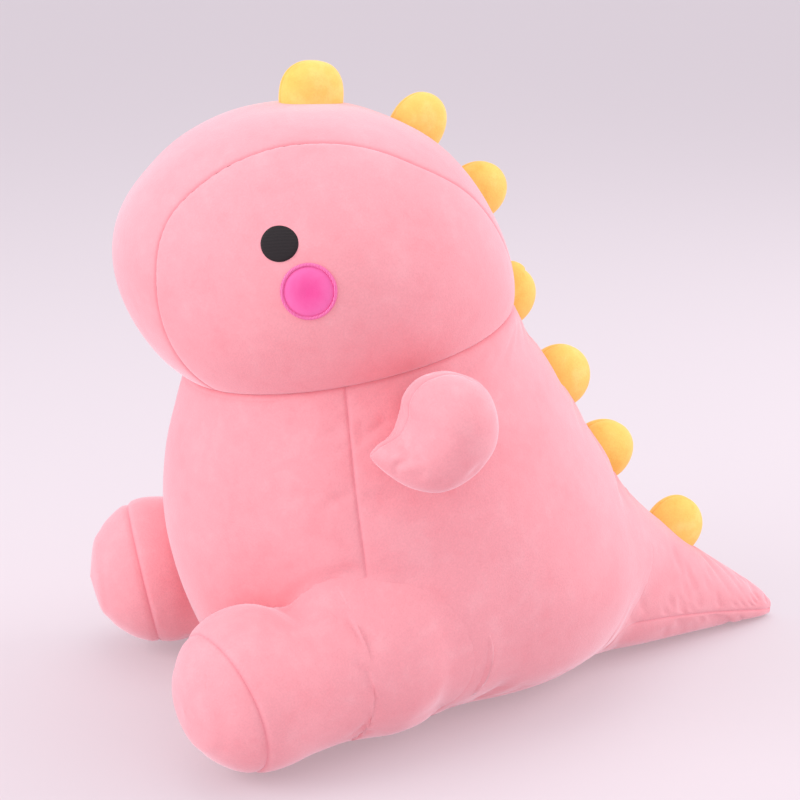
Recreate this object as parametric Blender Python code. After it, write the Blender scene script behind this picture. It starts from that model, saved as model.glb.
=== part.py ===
"""A seated plush dinosaur, 0.4 m tall, as an assembly of sewn panels and loose stuffing.

Frame: metres, +Z up, the snout towards -Y, the toy's left side towards +X.
The origin is on the ground, under the middle of the body.

The head is an ellipsoid whose neck seam lies on one of its circular sections, so that the
head can turn on the body. Each leg, each arm and the tail starts in a round knuckle
that sits in a pocket of the body with a small clearance, so that it can swing.
"""

import math

import bmesh
import bpy
import numpy as np
from mathutils import Matrix, Vector

# ---------------------------------------------------------------- driving dimensions
FABRIC = 0.0022  # thickness of the plush cloth
SEAM_GAP = 0.0003  # what two panels keep between them along a seam
CORE_INSET = 0.0048  # the stuffing lies this far inside the outer face
SWING_GAP = 0.0013  # clearance of a knuckle in its pocket
BALL_GAP = 0.0026  # the same for the legs' ball-shaped backs, whose facets turn past each other
TRIM_GAP = 0.0004  # what lies on a panel keeps this far off it

HEAD_CENTRE = Vector((0.0, -0.053, 0.285))
HEAD_LENGTH, HEAD_HEIGHT = 0.127, 0.096  # half sizes along Y and Z
NECK_SLOPE = 0.2  # how fast the neck seam climbs towards the back
NECK_CENTRE = Vector((0.0, -0.035, 0.234))
NECK_NORMAL = Vector((0.0, -NECK_SLOPE, 1.0)).normalized()
# This half width makes every section parallel to the neck seam a circle.
HEAD_WIDTH = math.sqrt(
    (1 + NECK_SLOPE**2) / (1 / HEAD_LENGTH**2 + NECK_SLOPE**2 / HEAD_HEIGHT**2)
)
# How the head leans ahead of the plain ellipsoid, higher up from the neck seam.
NECK_AHEAD = Vector((0.0, -1.0, -NECK_SLOPE)).normalized()
SECTION_DRIFT = NECK_SLOPE * (HEAD_LENGTH**2 - HEAD_HEIGHT**2)
SECTION_DRIFT /= HEAD_HEIGHT**2 + (NECK_SLOPE * HEAD_LENGTH) ** 2
LEAN, LENGTHEN, SQUAT = (0.0392, -0.0395), (-0.420, 0.490), 0.975
LEAN_HEIGHT = 0.15  # the height above the neck seam that these numbers are for
# Half the distance between the two planes that touch the ellipsoid parallel to the neck seam.
NECK_REACH = math.sqrt(
    (HEAD_LENGTH * NECK_NORMAL.y) ** 2 + (HEAD_HEIGHT * NECK_NORMAL.z) ** 2
)
# Half width of the band between the two face panels: (angle round the head, half width).
# The angle is 0 at the snout, 90 at the crown and 180 at the back of the head.
BAND_HALF_WIDTH = (
    (-90, 0.030),
    (-50, 0.034),
    (0, 0.046),
    (35, 0.046),
    (62, 0.057),
    (90, 0.070),
    (120, 0.076),
    (150, 0.066),
    (180, 0.052),
    (230, 0.045),
    (270, 0.030),
)

# The body's outline: front y, front z, back y, back z, half width, from the seat to the neck.
BODY_ROWS = (
    (-0.075, 0.000, 0.105, 0.000, 0.046),
    (-0.104, 0.011, 0.134, 0.011, 0.083),
    (-0.127, 0.038, 0.155, 0.038, 0.112),
    (-0.144, 0.078, 0.163, 0.080, 0.128),
    (-0.153, 0.122, 0.150, 0.128, 0.1285),
    (-0.151, 0.162, 0.122, 0.175, 0.1205),
    (-0.1435, 0.192, 0.092, 0.220, 0.111),
    (-0.1365, 0.2137, 0.0665, 0.2543, 0.1035),
)
SEAT_SEAM = 0.16  # where the seat panel ends, as a share of the way up the rows
SIDE_SEAM_LOW, SIDE_SEAM_HIGH = 58.0, 68.0  # side seam, degrees round from the front
BODY_RADIUS = 0.10  # the body's usual radius, which turns a width of cloth into an angle
CORE_LOW_SHARES = (0.0, 0.06, 0.13)  # rows of the stuffing near the seat

HIP = Vector((0.088, -0.055, 0.0585))
ANKLE_TOWARDS = Vector((0.020, -0.093, -0.0065)).normalized()
# Along the leg from the hip: distance, radius. The seam of the sole is at SOLE_SEAM.
LEG_ROWS = (
    (-0.0560, 0.0),
    (-0.0520, 0.0208),
    (-0.0410, 0.0381),
    (-0.0228, 0.0511),
    (0.0000, 0.0560),
    (0.0228, 0.0520),
    (0.0420, 0.0485),
    (0.0600, 0.0490),
    (0.0780, 0.0518),
    (0.0955, 0.0495),
    (0.1080, 0.0425),
    (0.1180, 0.0320),
    (0.1245, 0.0195),
    (0.1280, 0.0),
)
SOLE_SEAM = 0.0965
LEG_SIDES = 18
LEG_RADIUS = 0.05  # the leg's usual radius, which turns a width of cloth into an angle
LEG_BALL_END = 0.03  # up to this distance along the leg it is still close to its ball
LEG_SPLAY = 22.3  # degrees outwards about the vertical through the hip
LEG_POCKET_END = 0.110  # beyond this distance along the leg there is no body left to cut
POCKET_EDGE = 3.0  # degrees that keep the two halves of the pocket apart behind the hip

SHOULDER = Vector((0.0, -0.022, 0.203))
ARM_ROOT_RADIUS, ARM_ROOT_IN, ARM_ROOT_OUT = 0.026, 0.094, 0.146
ARM_SEAM_X = 0.147
ARM_SIDES = 14
ARM_TIP_RADIUS = 0.0008  # the stuffing's rows are never thinner than this
# The forearm, from its back to its tip: y, z, radius, in the plane x = ARM_SEAM_X.
ARM_ROWS = (
    (0.0005, 0.2090, 0.0),
    (-0.0025, 0.2090, 0.0145),
    (-0.0100, 0.2080, 0.0252),
    (-0.0225, 0.2065, 0.0330),
    (-0.0370, 0.2035, 0.0312),
    (-0.0510, 0.2000, 0.0228),
    (-0.0640, 0.1980, 0.0135),
    (-0.0745, 0.1985, 0.0055),
    (-0.0780, 0.1990, 0.0),
)

TAIL_FABRIC = 0.0018
TAIL_AXIS_Y = 0.130
TAIL_KNUCKLE_RADIUS, TAIL_KNUCKLE_TOP = 0.060, 0.098
TAIL_CORE_INSET = 2 * TAIL_FABRIC
TAIL_UNDERSIDE_EDGE = 100.0  # degrees round from the top to the underside's seams
TAIL_SEAM_EDGE = 0.35  # degrees that a panel stays short of its seams
# How the tail's section differs from an ellipse: powers above, below and across it.
TAIL_POWER_ABOVE, TAIL_POWER_BELOW, TAIL_POWER_ACROSS = 1.15, 0.8, 0.9
TAIL_LOW = 0.0008  # the underside's height off the ground
# The tail from the body to its tip: y, top z, widest z, half width.
TAIL_ROWS = (
    (0.130, 0.0975, 0.044, 0.0570),
    (0.160, 0.0975, 0.042, 0.0520),
    (0.190, 0.0840, 0.036, 0.0420),
    (0.220, 0.0610, 0.028, 0.0310),
    (0.250, 0.0400, 0.019, 0.0205),
    (0.272, 0.0240, 0.012, 0.0120),
    (0.283, 0.0130, 0.008, 0.0050),
)

SPIKE_FABRIC = 0.0018
SPIKE_HALF_LENGTH, SPIKE_HALF_THICKNESS, SPIKE_HEIGHT = 0.0200, 0.0155, 0.0270
HEAD_SPIKES = (87.0, 124.0, 158.0)  # degrees round the head
NAPE_SPIKES = (0.008,)  # how far the middle is below the neck seam
NAPE_GAP = 0.0018  # what the upper part of the nape spike keeps off the head, which turns
BODY_SPIKES = (0.764, 0.598)  # share of the way up the rows of the body
TAIL_SPIKES = (0.2025,)  # y
NAPE_RADIUS = 0.105  # the back's radius across, where the spikes stand
# The length of the back that one share of the body's height covers: at the nape, and lower.
NAPE_LENGTH, BACK_LENGTH = 0.299, 0.37
TAIL_FLATNESS = 0.80  # y per distance along the tail's top
SPIKE_POWER = 0.85  # under 1, so that a spike is fuller than an ellipsoid

EYE_AT, EYE_RADIUS = Vector((0.0, -0.1140, 0.3150)), 0.0108
CHEEK_AT, CHEEK_RADIUS, BORDER_WIDTH = Vector((0.0, -0.1020, 0.2890)), 0.0140, 0.0020
PATCH_THICKNESS, BORDER_THICKNESS = 0.0009, 0.0015

SIDES = (("left", 1), ("right", -1))


# ---------------------------------------------------------------- materials
def material(name, colour, roughness):
    made = bpy.data.materials.new(name)
    made.use_nodes = True
    shader = made.node_tree.nodes["Principled BSDF"]
    shader.inputs["Base Color"].default_value = (*colour, 1.0)
    shader.inputs["Roughness"].default_value = roughness
    shader.inputs["Metallic"].default_value = 0.0
    return made


def make_materials():
    return {
        "pink": material("plush_pink", (0.93, 0.38, 0.44), 0.9),
        "yellow": material("plush_yellow", (0.93, 0.62, 0.18), 0.9),
        "black": material("embroidery_black", (0.02, 0.015, 0.015), 0.6),
        "cheek": material("applique_pink", (0.87, 0.13, 0.38), 0.8),
        "border": material("satin_stitch_pink", (0.93, 0.20, 0.48), 0.5),
        "stuffing": material("polyester_fibre", (0.92, 0.92, 0.90), 1.0),
    }


# ---------------------------------------------------------------- curves and grids
def along(rows, share):
    """The smooth curve through the rows, at a share from 0 to 1 of the way."""
    rows = np.asarray(rows, float)
    place = min(max(share, 0.0), 1.0) * (len(rows) - 1)
    i = min(int(place), len(rows) - 2)
    f = place - i
    before, after = rows[max(i - 1, 0)], rows[min(i + 2, len(rows) - 1)]
    start, end = rows[i], rows[i + 1]
    slope_in = (end - before) / (2 if i > 0 else 1)
    slope_out = (after - start) / (2 if i + 2 < len(rows) else 1)
    return (
        (2 * f**3 - 3 * f**2 + 1) * start
        + (f**3 - 2 * f**2 + f) * slope_in
        + (3 * f**2 - 2 * f**3) * end
        + (f**3 - f**2) * slope_out
    )


def at_key(rows, key):
    """The smooth curve through rows whose first column is a rising key."""
    keys = [row[0] for row in rows]
    share = np.interp(key, keys, np.linspace(0.0, 1.0, len(rows)))
    return along([row[1:] for row in rows], float(share))


def steps(low, high, count):
    return [low + (high - low) * i / count for i in range(count + 1)]


def normal_of(surface, u, v, centre, step=1e-4):
    """The surface's unit normal at (u, v), pointing away from a centre."""
    across = surface(u + step, v) - surface(u - step, v)
    up = surface(u, v + step) - surface(u, v - step)
    normal = across.cross(up).normalized()
    outwards = surface(u, v) - centre
    return normal if normal.dot(outwards) > 0 else -normal


def add_object(name, mesh, look=None):
    obj = bpy.data.objects.new(name, mesh)
    bpy.context.scene.collection.objects.link(obj)
    if look:
        mesh.materials.append(look)
    mesh.shade_smooth()
    return obj


def sheet(made, points, wrap, caps):
    """Adds faces through rows of points, and gives back the rows of vertices.

    Wrapped, each row is a ring; one whose points all lie together becomes one point.
    """
    rows = []
    for row in points:
        if wrap and max((p - row[0]).length for p in row) < 1e-6:
            rows.append([made.verts.new(row[0])] * len(row))
        else:
            rows.append([made.verts.new(p) for p in row])
    count = len(rows[0])
    for low, high in zip(rows, rows[1:]):
        for i in range(count if wrap else count - 1):
            j = (i + 1) % count
            corners = list(dict.fromkeys([low[i], low[j], high[j], high[i]]))
            if len(corners) > 2:
                made.faces.new(corners)
    for place in caps:
        if len(set(rows[place])) > 2:
            made.faces.new(rows[place])
    return rows


def finish(name, made, look):
    """The object of a closed body, facing out."""
    bmesh.ops.recalc_face_normals(made, faces=made.faces)
    if made.calc_volume(signed=True) < 0:
        bmesh.ops.reverse_faces(made, faces=made.faces)
    mesh = bpy.data.meshes.new(name)
    made.to_mesh(mesh)
    made.free()
    return add_object(name, mesh, look)


def solid(name, points, look):
    """A closed body from rings of points; the open end rings are filled."""
    made = bmesh.new()
    sheet(made, points, True, (0, -1))
    return finish(name, made, look)


def cloth(name, outer, inner, look, wrap=False, caps=()):
    """A panel of cloth between an outer and an inner sheet of points."""
    made = bmesh.new()
    outside = sheet(made, outer, wrap, caps)
    inside = sheet(made, inner, wrap, caps)
    rims = []
    for place in (0, -1):
        if place not in caps and len(set(outside[place])) > 2:
            rims.append((outside[place], inside[place], wrap))
        if not wrap:
            column = [row[place] for row in outside], [row[place] for row in inside]
            rims.append((*column, False))
    for upper, under, closed in rims:
        for i in range(len(upper) if closed else len(upper) - 1):
            j = (i + 1) % len(upper)
            corners = list(dict.fromkeys([upper[i], upper[j], under[j], under[i]]))
            if len(corners) > 2:
                made.faces.new(corners)
    return finish(name, made, look)


def boolean(obj, operation, *others):
    for other in others:
        cut = obj.modifiers.new(operation.lower(), "BOOLEAN")
        cut.operation = operation
        cut.object = other
    return obj


def helper(obj):
    obj.hide_render = True
    obj.display_type = "WIRE"
    return obj


def block(name, low, high, turn=None, origin=None):
    """A helper box, turned about the world's origin and then moved to its place."""
    made = bmesh.new()
    bmesh.ops.create_cube(made, size=1.0)
    size = Vector(high) - Vector(low)
    bmesh.ops.transform(
        made,
        matrix=Matrix.Translation((Vector(low) + Vector(high)) / 2)
        @ Matrix.Diagonal((*size, 1.0)),
        verts=made.verts,
    )
    mesh = bpy.data.meshes.new(name)
    made.to_mesh(mesh)
    made.free()
    obj = helper(add_object(name, mesh))
    obj.matrix_world = Matrix.Translation(origin or (0, 0, 0)) @ (
        turn.to_matrix().to_4x4() if turn else Matrix.Identity(4)
    )
    return obj


def drum(name, radius, low, high, centre, axis, look=None, sides=24):
    """A cylinder along Z or X, between two places on that axis."""
    ring = [2 * math.pi * i / sides for i in range(sides)]
    rows = []
    for place in (low, high):
        if axis == "Z":
            row = [Vector((math.cos(a), math.sin(a), 0)) * radius for a in ring]
            rows.append([Vector((*centre.xy, place)) + p for p in row])
        else:
            row = [Vector((0, math.cos(a), math.sin(a))) * radius for a in ring]
            rows.append([Vector((place, *centre.yz)) + p for p in row])
    return solid(name, rows, look)


# ---------------------------------------------------------------- head
def leaned(point):
    """Moves a point of the plain ellipsoid to the head's: the crown leans ahead, the nape stays.

    Each section parallel to the neck seam slides along itself and changes its length, by
    amounts that are nothing at the seam.
    """
    away = point - NECK_CENTRE
    height = away.dot(NECK_NORMAL)
    ahead = away.dot(NECK_AHEAD)
    centre = HEAD_CENTRE - NECK_CENTRE
    middle = centre.dot(NECK_AHEAD) + (height - centre.dot(NECK_NORMAL)) * SECTION_DRIFT
    t = height / LEAN_HEIGHT
    shift = LEAN[0] * t + LEAN[1] * t * t
    stretch = 1 + LENGTHEN[0] * t + LENGTHEN[1] * t * t
    ahead = middle + shift + (ahead - middle) * stretch
    place = NECK_CENTRE + NECK_NORMAL * height * SQUAT + NECK_AHEAD * ahead
    return Vector((point.x, place.y, place.z))


def plain_point(angle, x, inset=0.0):
    """The ellipsoid at an angle round it, in degrees, and a distance from its middle."""
    t = math.radians(angle)
    narrow = math.sqrt(max(0.0, 1 - (x / (HEAD_WIDTH - inset)) ** 2))
    ahead = (HEAD_LENGTH - inset) * narrow * math.cos(t)
    up = (HEAD_HEIGHT - inset) * narrow * math.sin(t)
    return HEAD_CENTRE + Vector((x, -ahead, up))


def head_normal(plain):
    """The head's normal at a point of the plain ellipsoid."""
    away = plain - HEAD_CENTRE
    out = Vector(
        (away.x / HEAD_WIDTH**2, away.y / HEAD_LENGTH**2, away.z / HEAD_HEIGHT**2)
    ).normalized()
    first = out.orthogonal().normalized() * 1e-4
    second = out.cross(first)
    across = leaned(plain + first) - leaned(plain - first)
    return across.cross(leaned(plain + second) - leaned(plain - second)).normalized()


def head_point(angle, x, proud=0.0):
    """The head's outer face at an angle round it, in degrees, and a distance from its middle."""
    plain = plain_point(angle, x)
    return leaned(plain) + head_normal(plain) * proud


def band_half_width(angle):
    return float(at_key(BAND_HALF_WIDTH, angle)[0])


def head_side_point(angle, share, side, proud=0.0):
    """From the band's seam, at share 0, over the cheek to the middle of the face, at 1."""
    seam = math.asin((band_half_width(angle) + SEAM_GAP / 2) / HEAD_WIDTH)
    lean = seam + (math.pi / 2 - seam) * share
    x = HEAD_WIDTH * math.sin(lean)
    if share >= 1.0:
        angle, x = 0.0, HEAD_WIDTH
    return head_point(angle, side * x, proud)


def below_neck(gap):
    """A helper block that fills everything under the neck seam, up to a gap above it."""
    return block(
        "below_neck_cutter",
        (-0.3, -0.3, -0.4),
        (0.3, 0.3, gap),
        turn=Vector((0, 0, 1)).rotation_difference(NECK_NORMAL),
        origin=NECK_CENTRE,
    )


def cheek_point(y, z, side):
    """The point of the plain ellipsoid that the head carries at this y and z."""
    plain_y, plain_z = y, z
    for _ in range(6):
        flank = 1 - ((plain_y - HEAD_CENTRE.y) / HEAD_LENGTH) ** 2
        flank -= ((plain_z - HEAD_CENTRE.z) / HEAD_HEIGHT) ** 2
        plain = Vector((side * HEAD_WIDTH * math.sqrt(max(flank, 0.0)), plain_y, plain_z))
        now = leaned(plain)
        plain_y += y - now.y
        plain_z += z - now.z
    return plain


def patch_point(at, radius, angle, side, proud):
    """A point of a round patch on the cheek, at a height above the cloth."""
    plain = cheek_point(at.y, at.z, side)
    centre, out = leaned(plain), head_normal(plain)
    forwards = Vector((0, 0, 1)).cross(out).normalized()
    upwards = out.cross(forwards)
    place = centre + (forwards * math.cos(angle) + upwards * math.sin(angle)) * radius
    for _ in range(4):
        plain = cheek_point(place.y, place.z, side)
        normal = head_normal(plain)
        place += out * ((leaned(plain) - place).dot(normal) / out.dot(normal))
    return place + normal * proud


def make_patch(name, look, at, radii, side, thickness):
    """A round or ring-shaped patch that follows the cheek."""
    angles = steps(0.0, 2 * math.pi, 24)[:-1]
    faces = []
    for proud in (TRIM_GAP + thickness, TRIM_GAP):
        faces.append([[patch_point(at, r, a, side, proud) for a in angles] for r in radii])
    cloth(name, *faces, look, wrap=True)


def make_head(looks):
    neck = below_neck(SEAM_GAP / 2)
    around = steps(-90.0, 270.0, 30)[:-1]
    shares = steps(-1.0, 1.0, 6)
    faces = []
    for proud in (0.0, -FABRIC):
        rows = []
        for a in around[2:27]:
            half = band_half_width(a) - SEAM_GAP / 2
            rows.append([head_point(a, k * half, proud) for k in shares])
        faces.append(rows)
    band = cloth("head_band", *faces, looks["pink"])
    boolean(band, "DIFFERENCE", neck)

    for label, side in SIDES:
        faces = []
        for proud in (0.0, -FABRIC):
            rows = []
            for share in steps(0.0, 1.0, 5):
                rows.append([head_side_point(a, share, side, proud) for a in around])
            faces.append(rows)
        face = cloth(f"face_panel_{label}", *faces, looks["pink"], wrap=True)
        boolean(face, "DIFFERENCE", neck)

    rows = []
    for lean in steps(-90.0, 90.0, 14):
        x = (HEAD_WIDTH - CORE_INSET) * math.sin(math.radians(lean))
        rows.append([leaned(plain_point(a, x, CORE_INSET)) for a in around])
    core = solid("head_stuffing", rows, looks["stuffing"])
    boolean(core, "DIFFERENCE", neck)

    whole, disc = (0.0, EYE_RADIUS / 2, EYE_RADIUS), (0.0, CHEEK_RADIUS / 2, CHEEK_RADIUS)
    inner = CHEEK_RADIUS + SEAM_GAP
    ring = (inner, inner + BORDER_WIDTH)
    for label, side in SIDES:
        make_patch(f"eye_{label}", looks["black"], EYE_AT, whole, side, PATCH_THICKNESS)
        make_patch(f"cheek_{label}", looks["cheek"], CHEEK_AT, disc, side, PATCH_THICKNESS)
        make_patch(
            f"cheek_border_{label}", looks["border"], CHEEK_AT, ring, side, BORDER_THICKNESS
        )


# ---------------------------------------------------------------- body
def body_point(angle, share):
    """The body's outer face: an angle round from the front, in degrees, and a share of the height."""
    front_y, front_z, back_y, back_z, half_width = along(BODY_ROWS, share)
    front, back = Vector((0, front_y, front_z)), Vector((0, back_y, back_z))
    middle, half = (front + back) / 2, (front - back) / 2
    a = math.radians(angle)
    point = middle + half * math.cos(a) + Vector((half_width * math.sin(a), 0, 0))
    if share >= 1.0:
        point -= NECK_NORMAL * SEAM_GAP / 2
    return point


def body_middle(share):
    front_y, front_z, back_y, back_z, _ = along(BODY_ROWS, share)
    return Vector((0, (front_y + back_y) / 2, max((front_z + back_z) / 2, 0.05)))


def side_seam(share):
    return SIDE_SEAM_LOW + (SIDE_SEAM_HIGH - SIDE_SEAM_LOW) * share


def body_inner_point(angle, share, depth):
    """A point inside the body, at a depth under its outer face."""
    if depth == 0.0:
        return body_point(angle, share)
    inside = min(max(share, 0.002), 0.998)
    normal = normal_of(body_point, angle, inside, body_middle(inside), step=1e-3)
    point = body_point(angle, share) - normal * depth
    if share <= 0.0:
        point.z = depth
    return point


def body_panel(name, places, look, **kinds):
    """A panel of the body from rows of (angle, share)."""
    faces = []
    for depth in (0.0, FABRIC):
        faces.append([[body_inner_point(a, s, depth) for a, s in row] for row in places])
    return cloth(name, *faces, look, **kinds)


def make_body(looks, pockets):
    levels = steps(SEAT_SEAM, 1.0, 9)
    gap = math.degrees(SEAM_GAP / 2 / BODY_RADIUS)

    places = []
    for share in levels:
        half = side_seam(share) - gap
        places.append([(a, share) for a in steps(-half, half, 10)])
    belly = body_panel("belly_panel", places, looks["pink"])
    boolean(belly, "DIFFERENCE", *pockets["legs"])

    for number, (label, side) in enumerate(SIDES):
        places = []
        for share in levels:
            angles = steps(side_seam(share) + gap, 180.0 - gap, 10)
            places.append([(side * a, share) for a in angles])
        panel = body_panel(f"side_panel_{label}", places, looks["pink"])
        pocket = pockets["legs"][number], pockets["arms"][number], pockets["tail"]
        boolean(panel, "DIFFERENCE", *pocket)

    around = steps(0.0, 360.0, 28)[:-1]
    end = SEAT_SEAM - 0.003
    places = [[(a, share) for a in around] for share in steps(0.0, end, 2)]
    seat = body_panel("seat_panel", places, looks["pink"], wrap=True, caps=(0,))
    boolean(seat, "DIFFERENCE", *pockets["legs"], pockets["tail"])

    rows = []
    for share in [*CORE_LOW_SHARES, *steps(0.2, 1.0, 9)]:
        rows.append([body_inner_point(a, share, CORE_INSET) for a in around])
    core = solid("body_stuffing", rows, looks["stuffing"])
    boolean(core, "DIFFERENCE", *pockets["legs"], *pockets["arms"], pockets["tail"])


# ---------------------------------------------------------------- legs
def leg_axes(side):
    """The hip, and the leg's own directions: along it, level across it, and upwards."""
    hip = Vector((side * HIP.x, HIP.y, HIP.z))
    ahead = Vector((side * ANKLE_TOWARDS.x, ANKLE_TOWARDS.y, ANKLE_TOWARDS.z))
    across = ahead.cross(Vector((0, 0, 1))).normalized()
    return hip, ahead, across, across.cross(ahead)


def leg_point(side, distance, angle, grow=0.0):
    """The leg's outer face; the angle is 0 on top. It grows outwards along its own slope."""
    hip, ahead, across, up = leg_axes(side)
    reach = LEG_ROWS[-1][0] - LEG_ROWS[0][0]
    step = reach * 1e-3
    radius = max(0.0, float(at_key(LEG_ROWS, distance)[0]))
    slope = at_key(LEG_ROWS, distance + step)[0] - at_key(LEG_ROWS, distance - step)[0]
    rise = math.atan2(float(slope), 2 * step)
    a = math.radians(angle)
    out = up * math.cos(a) + across * math.sin(a)
    at_end = radius < 1e-9
    radius = 0.0 if at_end else max(0.0, radius + grow * math.cos(rise))
    if at_end:
        rise = math.pi / 2 if distance < 0 else -math.pi / 2
    return hip + ahead * (distance - grow * math.sin(rise)) + out * radius


def leg_solid(name, look, side, grow):
    angles = steps(0.0, 360.0, LEG_SIDES)[:-1]
    rows = [[leg_point(side, d, a, grow) for a in angles] for d, _ in LEG_ROWS]
    return solid(name, rows, look)


def leg_pocket(name, side):
    """What the leg sweeps through from rest to its full splay, as a helper body.

    Its inner half stays at rest and its outer half is turned outwards about the hip.
    """
    hip = leg_axes(side)[0]
    halves = {}
    for edge in (0.0, POCKET_EDGE):
        inner = steps(edge, 180.0 - edge, LEG_SIDES // 2)
        outer = steps(180.0 + edge, 360.0 - edge, LEG_SIDES // 2)
        halves[edge] = (inner, outer) if side > 0 else (outer, inner)
    turn = Matrix.Rotation(math.radians(side * LEG_SPLAY), 3, "Z")
    rows = []
    for distance, _ in LEG_ROWS:
        if distance > LEG_POCKET_END:
            break
        # The round back of the leg is a ball about the hip, so only the rest of it moves.
        moves = distance > 0
        inner, outer = halves[0.0 if moves else POCKET_EDGE]
        gap = BALL_GAP if distance < LEG_BALL_END else SWING_GAP
        still = [leg_point(side, distance, a, gap) for a in inner]
        moved = [leg_point(side, distance, a, gap) for a in outer]
        if moves:
            moved = [hip + turn @ (point - hip) for point in moved]
        rows.append(still + moved)
    return helper(solid(name, rows, None))


def leg_panel(name, look, side, distances, angles, **kinds):
    faces = []
    for grow in (0.0, -FABRIC):
        faces.append([[leg_point(side, d, a, grow) for a in angles] for d in distances])
    return cloth(name, *faces, look, **kinds)


def make_leg(looks, label, side):
    edge = math.degrees(SEAM_GAP / 2 / LEG_RADIUS)
    tube = [d for d, _ in LEG_ROWS[2:] if d < SOLE_SEAM - 0.005]
    tube.append(SOLE_SEAM - SEAM_GAP / 2)
    sole = [SOLE_SEAM + SEAM_GAP / 2] + [d for d, _ in LEG_ROWS if d > SOLE_SEAM]
    for part, start in (("inner", 0.0), ("outer", 180.0)):
        turn = start if side > 0 else 180.0 - start
        angles = steps(turn + edge, turn + 180.0 - edge, LEG_SIDES // 2)
        leg_panel(f"leg_{part}_panel_{label}", looks["pink"], side, tube, angles)
    around = steps(0.0, 360.0, LEG_SIDES)[:-1]
    leg_panel(f"sole_panel_{label}", looks["pink"], side, sole, around, wrap=True)
    leg_solid(f"leg_stuffing_{label}", looks["stuffing"], side, -CORE_INSET)


# ---------------------------------------------------------------- arms
def forearm(name, look, side, grow):
    """The drop-shaped forearm, with its root drum joined on."""
    rows = []
    for i, (y, z, radius) in enumerate(ARM_ROWS):
        end = i in (0, len(ARM_ROWS) - 1)
        shift = grow * (1 if i == 0 else -1) if end else 0.0
        r = 0.0 if end else max(radius + grow, ARM_TIP_RADIUS)
        centre = Vector((side * ARM_SEAM_X, y + shift, z))
        row = []
        for angle in steps(0.0, 2 * math.pi, ARM_SIDES)[:-1]:
            row.append(centre + Vector((math.cos(angle) * r, 0, math.sin(angle) * r)))
        rows.append(row)
    drop = solid(name, rows, look)
    root = drum(
        f"{name}_root",
        ARM_ROOT_RADIUS + grow,
        side * (ARM_ROOT_IN - grow),
        side * ARM_ROOT_OUT,
        SHOULDER,
        "X",
        sides=18,
    )
    helper(root)
    return boolean(drop, "UNION", root)


def make_arm(looks, label, side):
    hollow = helper(forearm(f"arm_hollow_{label}", None, side, -FABRIC))
    for part, low, high in (
        ("outer", ARM_SEAM_X + SEAM_GAP / 2, 0.3),
        ("inner", ARM_ROOT_IN + FABRIC, ARM_SEAM_X - SEAM_GAP / 2),
    ):
        x_low, x_high = sorted((side * low, side * high))
        half = block(f"arm_{part}_cutter_{label}", (x_low, -0.2, 0.1), (x_high, 0.1, 0.3))
        panel = forearm(f"arm_{part}_panel_{label}", looks["pink"], side, 0.0)
        boolean(panel, "DIFFERENCE", hollow)
        boolean(panel, "INTERSECT", half)
    forearm(f"arm_stuffing_{label}", looks["stuffing"], side, -CORE_INSET)


# ---------------------------------------------------------------- tail
def tail_point(angle, share, grow=0.0):
    """The tail's outer face. The angle is 0 on top, 90 at the left edge and 180 underneath."""
    y, top, widest, half_width = along(TAIL_ROWS, share)
    a = math.radians(angle)
    up, across = math.cos(a), math.sin(a)
    height = (top - widest if up > 0 else widest - TAIL_LOW) + grow
    rise = abs(up) ** (TAIL_POWER_ABOVE if up > 0 else TAIL_POWER_BELOW)
    spread = abs(across) ** TAIL_POWER_ACROSS
    return Vector(
        (
            (half_width + grow) * math.copysign(spread, across),
            y,
            widest + height * math.copysign(rise, up),
        )
    )


def make_tail(looks):
    shares = steps(0.0, 1.0, 8)
    edge, under = TAIL_SEAM_EDGE, TAIL_UNDERSIDE_EDGE
    for name, low, high, count in (
        ("tail_panel_left", edge, under - edge, 5),
        ("tail_panel_right", edge - under, -edge, 5),
        ("tail_underside", under + edge, 360.0 - under - edge, 8),
    ):
        faces = []
        for grow in (0.0, -TAIL_FABRIC):
            angles = steps(low, high, count)
            faces.append([[tail_point(a, s, grow) for a in angles] for s in shares])
        cloth(name, *faces, looks["pink"])
    rows = []
    for share in shares[:-1]:
        angles = steps(0.0, 360.0, 18)[:-1]
        rows.append([tail_point(a, share, -TAIL_CORE_INSET) for a in angles])
    core = solid("tail_stuffing", rows, looks["stuffing"])
    radius, top = TAIL_KNUCKLE_RADIUS - 0.002, TAIL_KNUCKLE_TOP - 0.006
    middle = Vector((0, TAIL_AXIS_Y, 0))
    knuckle = helper(drum("tail_knuckle", radius, 0.0010, top, middle, "Z"))
    behind = block("tail_knuckle_cutter", (-0.1, TAIL_AXIS_Y - 0.0004, -0.1), (0.1, 0.3, 0.2))
    boolean(knuckle, "DIFFERENCE", behind)
    reach = helper(tail_reach())
    boolean(core, "UNION", knuckle, reach)


def tail_reach():
    """The short neck by which the tail's stuffing passes from its panels into the knuckle."""
    rows = []
    for y in (TAIL_AXIS_Y - 0.004, TAIL_AXIS_Y + 0.004):
        row = [tail_point(a, 0.0, -0.008) for a in steps(0.0, 360.0, 12)[:-1]]
        rows.append([Vector((p.x, y, p.z)) for p in row])
    return solid("tail_reach", rows, None)


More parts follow.
